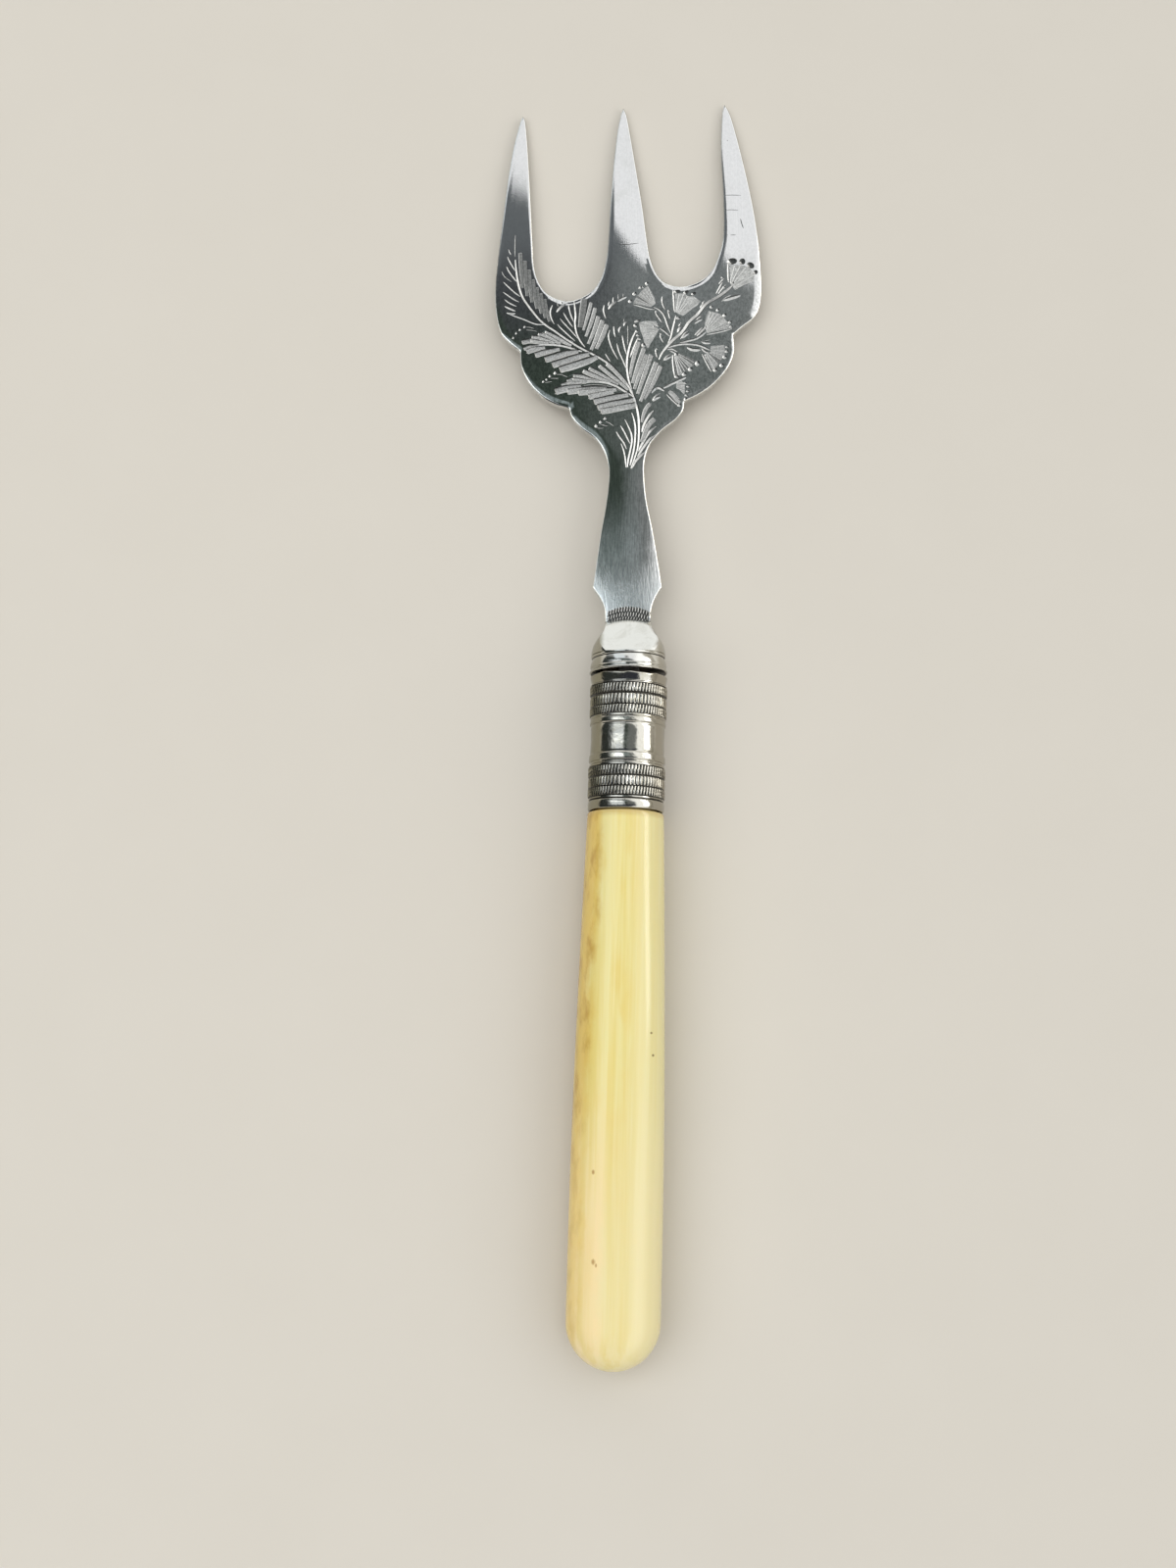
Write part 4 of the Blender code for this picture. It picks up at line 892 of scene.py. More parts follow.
def hatch_lines():
    """Fine hatching over each petal, running out from its stalk."""
    lines = []
    for shape, foot in FANS:
        poly = np.array([at(*p) for p in shape])
        root = np.array(at(*foot))
        ang = np.unwrap(np.arctan2(poly[:, 1] - root[1], poly[:, 0] - root[0]))
        for k in range(1, 8):
            a = ang.min() + (ang.max() - ang.min()) * k / 8
            way = np.array((math.cos(a), math.sin(a)))
            hits = []
            for p, q in zip(poly, np.roll(poly, -1, 0)):
                m = np.array((way, p - q)).T
                if abs(np.linalg.det(m)) < 1e-9:
                    continue
                r, t = np.linalg.solve(m, p - root)
                if 0 <= t <= 1 and r > 0:
                    hits.append(r)
            if len(hits) >= 2 and max(hits) - min(hits) > 0.5:
                lines.append((root + way * (min(hits) + 0.12), root + way * (max(hits) - 0.12)))
    return lines


def inside(points, poly):
    x, y = points[:, 0], points[:, 1]
    hit = np.zeros(len(points), bool)
    for (x0, y0), (x1, y1) in zip(poly, np.roll(poly, -1, 0)):
        cross = ((y0 > y) != (y1 > y)) & (x < (x1 - x0) * (y - y0) / (y1 - y0 + 1e-12) + x0)
        hit ^= cross
    return hit


def make_blade():
    cuts = [Cut(kind, width, spline([at(*p) for p in pixels], 0.22 if kind == "m" else 0.32)) for kind, width, pixels in CUTS]
    cuts += [Cut("h", 0.9, [p + (q - p) * k / 4 for k in range(5)]) for p, q in hatch_lines()]
    scoops = [Scoop(*s) for s in SCOOPS]
    fans = [np.array([at(*p) for p in shape]) for shape, _ in FANS]

    points, edges = [], []

    def add(line, closed=False, clear=0.0):
        line = np.asarray(line, float)
        keep = np.ones(len(line), bool)
        if clear:
            keep = (edge_distance(line, EDGE)[0] > clear) & inside(line, EDGE)
        ids = []
        for p, k in zip(line, keep):
            ids.append(len(points) if k else None)
            if k:
                points.append((float(p[0]), float(p[1])))
        pairs = zip(ids, ids[1:] + ids[:1]) if closed else zip(ids, ids[1:])
        edges.extend((a, b) for a, b in pairs if a is not None and b is not None)

    loop = np.array([*map(tuple, EDGE), *TONGUE])
    add(loop, closed=True)
    # bands beside the edge
    step = np.gradient(EDGE, axis=0)
    step /= np.linalg.norm(step, axis=1)[:, None]
    inward = np.stack((-step[:, 1], step[:, 0]), 1)
    for d, every in ((0.05, 1), (0.12, 1), (0.24, 1), (0.5, 1), (0.85, 2), (1.25, 2), (1.7, 2), (2.1, 3), (2.6, 3),
                     (3.1, 3)):
        ring = EDGE[::every] + inward[::every] * d
        far = edge_distance(ring, EDGE)[0]
        points.extend(map(tuple, ring[(far > 0.93 * d) & inside(ring, EDGE)]))
    # inside of the plate
    gx, gy = np.meshgrid(np.arange(-23, 23.5, 1.1), np.arange(7.9, 100, 1.1))
    gx = gx + 0.55 * ((np.arange(gx.shape[0]) % 2)[:, None])
    grid = np.stack((gx.ravel(), gy.ravel()), 1)
    grid = grid[inside(grid, EDGE)]
    points.extend(map(tuple, grid[edge_distance(grid, EDGE)[0] > 2.2]))

    for cut in cuts:
        for row in cut.rows():
            add(row, clear=0.1)
        for k in (0, 1, -1) if cut.broad else (0, -1):
            add([r[k] for r in cut.rows()], clear=0.1)
    for scoop in scoops:
        add(scoop.ring(1.0, 14), closed=True, clear=0.1)
        for k, count in ((0.72, 10), (0.4, 6)):
            ring = scoop.ring(k, count)
            points.extend(map(tuple, ring[inside(ring, EDGE)]))
        points.append(tuple(scoop.middle))
    for fan in fans:
        add(fan, closed=True, clear=0.1)

    out = delaunay_2d_cdt([Vector(p) for p in points], edges, [], 1, 1e-5)
    xy = np.array([tuple(v) for v in out[0]])
    tris = np.array([f for f in out[2] if len(f) == 3])
    # turn every face up
    p, q, r = xy[tris[:, 0]], xy[tris[:, 1]], xy[tris[:, 2]]
    area = (q[:, 0] - p[:, 0]) * (r[:, 1] - p[:, 1]) - (q[:, 1] - p[:, 1]) * (r[:, 0] - p[:, 0])
    tris[area < 0] = tris[area < 0][:, ::-1]

    def all_depths(where):
        depth = np.zeros(len(where))
        facet = np.zeros(len(where), int)
        for tool in cuts + scoops:
            near = np.flatnonzero(((where >= tool.low) & (where <= tool.high)).all(1))
            if not len(near):
                continue
            d, side = tool.depth(where[near])
            kind = getattr(tool, "kind", "o")
            better = d > depth[near]
            # the steep facet of each cut and the far wall of each scoop, away from the light, take the DARK slot:
            # painted shade over some tarnish
            code = {"b": (GREY, DARK, BRIGHT), "g": (DIM, DARK, GREY), "d": (GREY, DARK), "h": (BRIGHT, GREY),
                    "n": (DARK, DARK), "m": (GREY, DARK)}.get(kind, (BRIGHT, DARK))
            pick = near[better]
            depth[pick] = d[better]
            facet[pick] = np.array(code)[side[better]]
        return depth, facet

    depth, _ = all_depths(xy)
    far, away = edge_distance(xy, EDGE)
    step_in = np.array([inward[np.argmin(((EDGE - v) ** 2).sum(1))] for v in xy[far < 1e-6]])
    if len(step_in):
        away[far < 1e-6] = step_in
    fall, grad = crown(xy, far, away)
    z = plate_z(xy[:, 1], 1) - fall - depth
    middle = xy[tris].mean(1)
    mid_depth, facet = all_depths(middle)
    slots = np.where(mid_depth > 0.004, facet, PLATE)
    for fan, (_, foot), streaks in zip(fans, FANS, PETAL_STREAKS):
        here = np.flatnonzero((slots == PLATE) & inside(middle, fan))
        root = np.array(at(*foot))
        angle = lambda p: np.arctan2(p[:, 1] - root[1], p[:, 0] - root[0])
        turn = angle(fan).mean() if np.ptp(angle(fan)) < math.pi else math.pi
        spread = (angle(fan) - turn + math.pi) % (2 * math.pi)
        sector = ((angle(middle[here]) - turn + math.pi) % (2 * math.pi) - spread.min()) / np.ptp(spread)
        slots[here] = np.array([PETAL if c == "p" else GREY if c == "g" else DIM for c in streaks])[
            np.clip((sector * 8).astype(int), 0, 7)]
    slots[(slots == PLATE) & inside(middle, np.array([at(*p) for p in MILLED]))] = DARK
    slots[(slots == PLATE) & (edge_distance(middle, EDGE)[0] < 0.13)] = RIM

    # smooth normals of the uncut face
    grade = (plate_z(xy[:, 1] + 0.01, 1) - plate_z(xy[:, 1] - 0.01, 1)) / 0.02
    normal = np.stack((grad[:, 0], -grade + grad[:, 1], np.ones(len(xy))), 1)
    normal /= np.linalg.norm(normal, axis=1)[:, None]

    top = np.column_stack((xy, z))
    # boundary loop of the top, in order
    count = {}
    for f in tris:
        for a, b in ((f[0], f[1]), (f[1], f[2]), (f[2], f[0])):
            count[(int(a), int(b))] = True
    nxt = {a: b for a, b in count if (b, a) not in count}
    start = next(iter(nxt))
    border = [start]
    while nxt[border[-1]] != start:
        border.append(nxt[border[-1]])
    rim_xy = xy[border]
    # direction of the edge, taken over a fixed length so that close points do not disturb it
    along = np.append(0.0, np.cumsum(np.linalg.norm(np.roll(rim_xy, -1, 0) - rim_xy, axis=1)))

    def on_rim(t):
        return np.stack([np.interp(t % along[-1], along, np.append(rim_xy[:, k], rim_xy[0, k])) for k in (0, 1)], 1)

    run = on_rim(along[:-1] + 0.2) - on_rim(along[:-1] - 0.2)
    run /= np.maximum(np.linalg.norm(run, axis=1), 1e-9)[:, None]
    inn = np.stack((-run[:, 1], run[:, 0]), 1)
    n_top, n_rim = len(xy), len(border)
    low = plate_z(rim_xy[:, 1], -1)
    wall = np.column_stack((rim_xy, low + 0.16))
    soft = np.column_stack((rim_xy + inn * 0.05, low + 0.05))
    base_xy = rim_xy + inn * 0.16
    # underside: lightly crowned too
    under = [tuple(v) for v in base_xy]
    under_edges = [(i, (i + 1) % n_rim) for i in range(n_rim)]
    inner = EDGE[::4] + inward[::4] * 0.7
    ok = (edge_distance(inner, EDGE)[0] > 0.65) & inside(inner, EDGE)
    under += list(map(tuple, inner[ok]))
    gx, gy = np.meshgrid(np.arange(-23, 23.5, 2.0), np.arange(8.0, 100, 2.0))
    grid = np.stack((gx.ravel(), gy.ravel()), 1)
    grid = grid[inside(grid, EDGE)]
    under += list(map(tuple, grid[edge_distance(grid, EDGE)[0] > 1.2]))
    res = delaunay_2d_cdt([Vector(v) for v in under], under_edges, [], 1, 1e-6)
    bxy = np.array([tuple(v) for v in res[0]])
    btri = np.array([f for f in res[2] if len(f) == 3])
    p, q, r = bxy[btri[:, 0]], bxy[btri[:, 1]], bxy[btri[:, 2]]
    area = (q[:, 0] - p[:, 0]) * (r[:, 1] - p[:, 1]) - (q[:, 1] - p[:, 1]) * (r[:, 0] - p[:, 0])
    btri[area > 0] = btri[area > 0][:, ::-1]
    bottom = np.column_stack((bxy, plate_z(bxy[:, 1], -1)))
    spot = {o: i for i, olds in enumerate(res[3]) for o in olds}

    pts = np.vstack((top, wall, soft, bottom))
    o_wall, o_soft, o_bot = n_top, n_top + n_rim, n_top + 2 * n_rim
    faces, marks = [tuple(f) for f in tris], list(slots)
    for i in range(n_rim):
        j = (i + 1) % n_rim
        faces += [(border[i], o_wall + i, o_wall + j, border[j]), (o_wall + i, o_soft + i, o_soft + j, o_wall + j),
                  (o_soft + i, o_bot + spot[i], o_bot + spot[j], o_soft + j)]
        marks += [PLATE] * 3
    faces += [tuple(f + o_bot) for f in btri]
    marks += [PLATE] * len(btri)
    obj = make_piece("fork_blade_engraved", pts + SEAT, faces, [PLATED, CUT_BRIGHT, CUT_GREY, CUT_TARNISH_AND_SHADE, cut_dim(), cut_petal(), rim_worn()], marks,
                     node="fork_blade")
    # the uncut face and the underside take their exact normals, cut facets stay flat, the rest is smooth up to its sharp corners
    mesh = obj.data
    mesh.set_sharp_from_angle(angle=math.radians(40))
    corner = np.empty(len(mesh.loops) * 3)
    mesh.corner_normals.foreach_get("vector", corner)
    corner = corner.reshape(-1, 3)
    flat = np.empty(len(mesh.polygons) * 3)
    mesh.polygons.foreach_get("normal", flat)
    smooth = (slots == PLATE) | (mid_depth <= 0.004)
    top_corner = np.where(smooth[:, None, None], normal[tris], flat.reshape(-1, 3)[:len(tris)][:, None, :])
    corner[:3 * len(tris)] = top_corner.reshape(-1, 3)
    fall = (plate_z(bxy[:, 1] + 0.01, -1) - plate_z(bxy[:, 1] - 0.01, -1)) / 0.02
    below = np.stack((np.zeros(len(bxy)), fall, -np.ones(len(bxy))), 1)
    corner[-3 * len(btri):] = (below / np.linalg.norm(below, axis=1)[:, None])[btri].reshape(-1, 3)
    mesh.normals_split_custom_set([tuple(n) for n in corner])
    return obj


# ------------------------------------------------------------------- bolster
# sections from nose to foot: y, half width, half height of the round form, squareness
NOSE = [(7.8, 3.70, 2.9, 5.0), (7.2, 3.72, 3.2, 4.6), (6.6, 3.78, 3.6, 4.1), (5.9, 4.15, 4.2, 3.5), (5.3, 4.62, 4.8, 3.1),
        (4.55, 5.2, 5.3, 2.7), (3.75, 5.68, 5.6, 2.4), (2.9, 5.9, 5.85, 2.15), (2.3, 5.95, 5.95, 2.02)]
FOOT = [(2.22, 5.80), (2.12, 5.93), (1.98, 5.97), (1.86, 5.93), (1.79, 5.83), (1.7, 5.76), (1.62, 5.78), (1.5, 5.83),
        (1.2, 5.935), (0.85, 6.045), (0.52, 6.105), (0.32, 6.12), (0.2, 6.06), (0.12, 5.95), (0.02, 5.88),
        (-0.12, 5.87), (-0.2, 5.94), (-0.27, 6.08), (-0.34, 6.19), (-0.46, 6.25), (-0.57, 6.23), (-0.63, 6.15), (-0.65, 6.02)]


def ramp(y):
    """Height of the filed flat on the bolster's upper and lower face."""
    return 1.38 + (7.8 - y) * 0.60 - 0.34 * np.clip(1 - (7.8 - y) / 0.75, 0.0, 1.0) ** 2


def make_bolster():
    flat, side = 20, 28  # points over each flat and down each flank
    rows = []
    ys = np.concatenate((np.linspace(7.8, 2.3, 30), [y for y, _ in FOOT]))
    keys = np.array(NOSE)
    for y in ys:
        if y >= 2.3 - 1e-9:
            w, h, n = (float(np.interp(-y, -keys[:, 0], keys[:, k])) for k in (1, 2, 3))
            top = min(float(ramp(y)), h * 0.985)
            edge = w * (1 - (top / h) ** n) ** (1 / n)
        else:
            w = h = float(dict(FOOT)[y])
            n, edge = 2.0, w * 0.46
            top = None
        a0 = math.acos(min(1.0, (edge / w) ** (n / 2)))
        ring = []
        for i in range(flat):
            x = edge * (1 - 2 * i / flat)
            z = top - 0.16 * abs(x / edge) ** 9 if top is not None else math.sqrt(max(h * h - x * x, 0))
            ring.append((x, z))
        for i in range(side):
            a = math.pi - a0 + 2 * a0 * i / side
            c, s = math.cos(a), math.sin(a)
            ring.append((w * math.copysign(abs(c) ** (2 / n), c), h * math.copysign(abs(s) ** (2 / n), s)))
        for i in range(flat):
            x = -edge * (1 - 2 * i / flat)
            z = -(top - 0.16 * abs(x / edge) ** 9 if top is not None else math.sqrt(max(h * h - x * x, 0)))
            ring.append((x, z))
        for i in range(side):
            a = -a0 + 2 * a0 * i / side
            c, s = math.cos(a), math.sin(a)
            ring.append((w * math.copysign(abs(c) ** (2 / n), c), h * math.copysign(abs(s) ** (2 / n), s)))
        row = []
        for x, z in ring:
            yy = float(y)
            if y > 6.6:  # the lip over the neck is arched
                yy += (y - 6.6) / 1.2 * (0.3 - 0.62 * (x / 3.7) ** 2) * float(ease(0.8, 1.1, abs(z)))
            row.append((x, yy, z))
        rows.append(row)
    count = len(rows[0])
    pts = np.array([p for row in rows for p in row])
    faces = rings_to_faces(count, len(rows))
    faces.append(tuple(range(count))[::-1])
    faces.append(tuple(range(len(pts) - count, len(pts))))
    obj = make_piece("bolster_filed", pts + SEAT, faces, [POLISHED, TARNISH], node="bolster")
    bm = bmesh.new()
    bm.from_mesh(obj.data)
    bmesh.ops.recalc_face_normals(bm, faces=bm.faces)
    bm.to_mesh(obj.data)
    bm.free()
    # slot of the tongue and seat of the tang
    for name, lo, hi in (("slot", (-2.96, 2.9, -0.92), (2.96, 9.4, 0.92)), ("seat", (-2.15, -2.0, -2.15), (2.15, 2.3, 2.15))):
        bm = bmesh.new()
        bmesh.ops.create_cube(bm, size=1.0)
        for v in bm.verts:
            v.co = Vector([(SEAT[k] + (lo[k] + hi[k]) / 2 + v.co[k] * (hi[k] - lo[k])) * MM for k in range(3)])
        cutter_mesh = bpy.data.meshes.new(name)
        bm.to_mesh(cutter_mesh)
        bm.free()
        cutter = bpy.data.objects.new(name, cutter_mesh)
        bpy.context.scene.collection.objects.link(cutter)
        mod = obj.modifiers.new(name, "BOOLEAN")
        mod.operation = "DIFFERENCE"
        mod.object = cutter
        bpy.context.view_layer.update()
        done = bpy.data.meshes.new_from_object(obj.evaluated_get(bpy.context.evaluated_depsgraph_get()))
        obj.modifiers.clear()
        obj.data = done
        bpy.data.objects.remove(cutter)
    mesh = obj.data
    mesh.name = "bolster_filed"
    mesh.materials.clear()
    mesh.materials.append(POLISHED)
    mesh.materials.append(TARNISH)
    for poly in mesh.polygons:
        c = np.array(poly.center) / MM - SEAT
        r = math.hypot(c[0], c[2])
        groove = (1.62 < c[1] < 1.9 or -0.24 < c[1] < 0.1) and r < 5.86
        hidden = max(abs(c[0]) - 2.97, abs(c[2]) - 0.93) < 0.0 and c[1] < 9 or r < 4.5 and c[1] < -0.6
        poly.material_index = 1 if groove or hidden else 0
    mesh.shade_smooth()
    mesh.set_sharp_from_angle(angle=math.radians(28))
    return obj


# ------------------------------------------------------------------- ferrule
def arc(y0, y1, r0, r1, count=6):
    """Rows of a flattened bead from y0 to y1, foot radius r0 and crown r1, a little fuller towards y1."""
    rows = []
    for k in range(count + 1):
        t = (1 - math.cos(math.pi * k / count)) / 2
        full = (1 - abs(2 * t - 1) ** 6) ** 0.5
        rows.append((y0 + (y1 - y0) * t, r0 + (r1 - r0) * full * (0.7 + 0.3 * t)))
    return rows


def ferrule_rows():
    """(y, radius, pattern) from mouth to rim: pattern 0 plain, 1 milled teeth, 2 flutes, 3 groove."""
    rows = [(-2.6, 5.35, 3), (-1.42, 5.35, 3), (-1.34, 5.6, 3), (-1.30, 5.92, 0), (-1.33, 6.09, 0), (-1.41, 6.17, 0)]
    rows += [(-1.52, 6.18, 0), (-1.62, 6.165, 0), (-1.95, 6.095, 0), (-2.3, 6.02, 0), (-2.6, 5.965, 0), (-2.72, 5.95, 0)]
    rows += [(-2.80, 5.98, 3)] + [(y, r, 0) for y, r in arc(-2.84, -3.0, 6.03, 6.13, 4)] + [(-3.07, 5.97, 3)]

    def milled(y0, y1, r):
        return [(y0, r - 0.14, 3), (y0 - 0.05, r - 0.02, 1), (y0 - 0.16, r, 1), ((y0 + y1) / 2, r, 1), (y1 + 0.16, r, 1),
                (y1 + 0.05, r - 0.02, 1), (y1, r - 0.14, 3)]

    def fluted(y0, y1, r):
        return [(y0, r - 0.12, 3), (y0 - 0.07, r - 0.03, 2), (y0 - 0.25, r, 2), ((y0 + y1) / 2, r + 0.02, 2),
                (y1 + 0.25, r, 2), (y1 + 0.07, r - 0.03, 2), (y1, r - 0.12, 3)]

    rows += milled(-3.12, -4.57, 6.18) + [(-4.66, 5.96, 3), (-4.74, 6.0, 0)]
    rows += fluted(-4.82, -6.45, 6.1) + [(-6.54, 5.95, 3)]
    rows += milled(-6.6, -7.96, 6.15) + [(y, r, 0) for y, r in arc(-8.0, -8.26, 6.0, 6.07, 4)] + [(-8.34, 5.9, 0)]
    rows += [(y, r, 0) for y, r in arc(-8.42, -9.3, 5.88, 6.09, 14)] + [(-9.36, 5.84, 0), (-9.46, 5.80, 0), (-9.56, 5.83, 0)]
    rows += [(-9.68, 5.87, 0), (-9.9, 5.88, 0), (-10.8, 5.87, 0), (-11.8, 5.865, 0), (-12.8, 5.87, 0), (-13.6, 5.88, 0)]
    rows += [(-13.84, 5.87, 0), (-13.93, 5.83, 0), (-14.02, 5.82, 0)]
    rows += [(y, r, 0) for y, r in arc(-14.08, -15.3, 5.86, 6.1, 14)] + [(-15.4, 5.83, 0), (-15.5, 5.8, 0), (-15.62, 5.82, 0)]
    rows += [(y, r, 0) for y, r in arc(-15.7, -16.08, 5.9, 6.02, 5)] + [(-16.13, 5.9, 3)]
    rows += milled(-16.17, -17.7, 6.12) + [(-17.8, 5.92, 3)]
    rows += fluted(-17.87, -19.43, 6.08) + [(-19.5, 5.92, 3)]
    rows += milled(-19.55, -20.9, 6.12) + [(-21.0, 5.88, 3)]
    rows += [(y, r, 0) for y, r in arc(-21.05, -21.3, 5.92, 6.01, 4)] + [(-21.38, 5.84, 3), (-21.46, 5.86, 3)]
    rows += [(-21.52, 5.98, 0), (-21.62, 6.05, 0), (-22.1, 6.07, 0), (-22.6, 6.06, 0), (-22.84, 6.03, 0),
             (-22.96, 5.95, 0), (-23.0, 5.8, 0), (-23.0, 5.35, 3)]
    return rows


def make_ferrule():
    around = 504
    ang = 2 * math.pi * np.arange(around) / around
    rows = ferrule_rows()
    pts = []
    for y, r, pattern in rows:
        rr = np.full(around, r)
        yy = np.full(around, y)
        if pattern == 1:
            phase = (ang * 72 / (2 * math.pi) + 0.3 * (y + 23)) % 1.0
            cut = np.exp(-((np.minimum(phase, 1 - phase)) / 0.23) ** 2)
            rr = rr - 0.17 * cut
        elif pattern == 2:
            phase = (ang * 63 / (2 * math.pi) + 0.12 * (y + 23)) % 1.0
            rr = rr - 0.14 * (0.5 + 0.5 * np.cos(2 * math.pi * phase)) ** 1.3
        # hand-beaten unevenness, strongest at the mouth
        mouth = float(ease(-3.0, -1.7, y))
        yy = yy + mouth * (0.07 * np.sin(3 * ang + 0.6) + 0.05 * np.sin(8 * ang + 2.0) + 0.03 * np.sin(17 * ang))
        rr = rr + 0.012 * np.sin(2 * ang + 0.3 * y) - mouth * 0.012 * (1 + np.sin(5 * ang + 1.1))
        if -13.9 < y < -9.6:  # shallow knock in the plain band
            knock = np.exp(-((ang - 1.53) / 0.16) ** 2) * math.exp(-((y + 11.9) / 1.1) ** 2)
            rr = rr - 0.06 * knock + 0.018 * np.sin(6 * ang + 1.7 * y) + 0.006 * np.sin(17 * ang - 2.6 * y)
        pts.append(np.stack((rr * np.cos(ang), yy, rr * np.sin(ang)), 1))
    n = len(pts)
    faces = rings_to_faces(around, n)
    faces += [((n - 1) * around + i, (n - 1) * around + (i + 1) % around, (i + 1) % around, i) for i in range(around)]
    marks = []
    for k in range(n):
        (y0, _, a), (y1, _, b) = rows[k], rows[(k + 1) % n]
        if a == 3 or b == 3:
            marks += [1] * around
        elif a == b and a in (1, 2):
            turns, slant = ((72, 0.3), (63, 0.12))[a - 1]
            phase = ((ang + math.pi / around) * turns / (2 * math.pi) + slant * ((y0 + y1) / 2 + 23)) % 1.0
            marks += list((np.minimum(phase, 1 - phase) < (0.24, 0.12)[a - 1]).astype(int))
        else:
            marks += [0] * around
    flat = to_handle(np.vstack(pts))
    obj = make_piece("ferrule_milled", flat, [f[::-1] for f in faces], [FERRULE_SILVER, TARNISH], marks, node="ferrule",
                     sharp=50)
    return fix_normals(obj)


def fix_normals(obj):
    bm = bmesh.new()
    bm.from_mesh(obj.data)
    bmesh.ops.recalc_face_normals(bm, faces=bm.faces)
    bm.to_mesh(obj.data)
    bm.free()
    return obj


# -------------------------------------------------------------------- handle
SHOULDER_Y, BUTT_START, BUTT_LONG = -23.3, -101.5, 7.38


def make_handle():
    around = 128
    ang = 2 * math.pi * (np.arange(around) + 0.5) / around
    c, s = np.cos(ang), np.sin(ang)
    rings = []
    # bore and spigot, hidden in the ferrule
    for y, r in ((-64.98, 0.02), (-65.0, 2.6), (-65.0, 3.8), (-40.0, 3.8), (-6.02, 3.8), (-6.0, 3.9), (-6.0, 4.9),
                 (-6.1, 5.0), (-14.0, 5.0), (-23.28, 5.0), (SHOULDER_Y, 5.05)):
        rings.append(np.stack((r * c, np.full(around, y), r * s), 1))
    body = [SHOULDER_Y, -23.32, -23.38, -23.5] + list(np.linspace(-24.0, BUTT_START, 52))
    butt = [BUTT_START - BUTT_LONG * math.sin(math.pi / 2 * k / 26) for k in range(1, 26)]
    for y in body + butt:
        half = 6.08 + 1.23 * math.sin(math.pi / 2 * min(1.0, (SHOULDER_Y - y) / 68.0))
        top = 6.08 + 0.1 * float(ease(-SHOULDER_Y, 60.0, -y)) - 0.4 * float(ease(60.0, 100.0, -y))
        bottom = -6.08 - 0.57 * float(ease(-SHOULDER_Y, 45.0, -y))
        t = max(0.0, (BUTT_START - y) / BUTT_LONG)
        rw, rh = (1 - t ** 2) ** 0.5, (1 - t ** 2.6) ** (1 / 2.6)
        tuck = 0.12 * (1 - float(ease(0.0, 0.2, SHOULDER_Y - y)))  # eased edge at the ferrule
        power = 2.0 + 0.25 * float(ease(-SHOULDER_Y, 60.0, -y))
        mid, tall = (top + bottom) / 2, (top - bottom) / 2
        x = (half * rw - tuck) * np.sign(c) * np.abs(c) ** (2 / power)
        z = mid + (tall * rh - tuck) * np.sign(s) * np.abs(s) ** (2 / power)
        rings.append(np.stack((x, np.full(around, y), np.maximum(z, -6.4)), 1))
    pts = np.vstack(rings)
    n = len(rings)
    faces = rings_to_faces(around, n)
    tip = len(pts)
    last = rings[-1]
    pts = np.vstack((pts, [(0.0, BUTT_START - BUTT_LONG + 0.003, float(last[:, 2].mean()))], [(0.0, -64.98, 0.0)]))
    faces += [((n - 1) * around + i, (n - 1) * around + (i + 1) % around, tip) for i in range(around)]
    faces += [((i + 1) % around, i, tip + 1) for i in range(around)]
    obj = make_piece("handle_bone_grip", to_handle(pts), faces, [BONE], node="handle", sharp=35)
    return fix_normals(obj)


# ------------------------------------------------------------------ assembly
PLATED, CUT_BRIGHT, CUT_GREY, CUT_TARNISH_AND_SHADE = silver_plate(), cut_bright(), cut_grey(), cut_tarnish_and_shade()
POLISHED = silver_polished("bolster_silver", (0.82, 0.82, 0.79), (0.74, 0.735, 0.695), 0.75, 0.00012, 18.0)
FERRULE_SILVER = silver_polished("ferrule_silver", (0.68, 0.665, 0.61), (0.52, 0.50, 0.42), 0.9, 0.0003, 15.0)
TARNISH = groove_tarnish()
BONE = bone()

make_blade()
make_bolster()
make_ferrule()
make_handle()
for node, mat in (("tang", tang_steel()), ("cutlers_cement", cement())):
    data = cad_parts[node].data
    data.materials.clear()
    data.materials.append(mat)

# --------------------------------------------------------------------- stage
floor_mesh = bpy.data.meshes.new("floor")
floor_mesh.from_pydata([(-3, -3, 0), (3, -3, 0), (3, 3, 0), (-3, 3, 0)], [], [(0, 1, 2, 3)])
floor_mesh.materials.append(floor_paper())
floor = bpy.data.objects.new("floor", floor_mesh)
bpy.context.scene.collection.objects.link(floor)


def soft_light(name, way, distance, size, radiance, colour=(1.0, 1.0, 1.0), roll=0.0):
    """A rectangular panel that faces the fork from a direction (degrees east and north of straight up)."""
    east, north = (math.radians(v) for v in way)
    d = Vector((math.tan(east), math.tan(north), 1.0)).normalized()
    data = bpy.data.lights.new(name, "AREA")
    data.shape = "RECTANGLE"
    data.size, data.size_y = size
    data.energy = radiance * math.pi * size[0] * size[1]
    data.color = colour
    obj = bpy.data.objects.new(name, data)
    obj.location = d * distance
    q = d.to_track_quat("Z", "Y")
    obj.rotation_mode = "QUATERNION"
    obj.rotation_quaternion = q @ Euler((0, 0, roll)).to_quaternion()
    bpy.context.scene.collection.objects.link(obj)
    return obj


world = bpy.data.worlds.new("studio")
bpy.context.scene.world = world
world.use_nodes = True
wt = world.node_tree
background = wt.nodes["Background"]


def toward(east, north):
    """How far the direction looked in agrees with one given in degrees east and north of straight up."""
    node = wt.nodes.new("ShaderNodeVectorMath")
    node.operation = "DOT_PRODUCT"
    wt.links.new(sky.outputs["Generated"], node.inputs[0])
    d = Vector((math.tan(math.radians(east)), math.tan(math.radians(north)), 1.0)).normalized()
    node.inputs[1].default_value = d
    return node.outputs["Value"]


def graded(value, low, high):
    node = wt.nodes.new("ShaderNodeMapRange")
    node.interpolation_type = "SMOOTHSTEP"
    node.inputs["From Min"].default_value = low
    node.inputs["From Max"].default_value = high
    wt.links.new(value, node.inputs["Value"])
    return node.outputs["Result"]


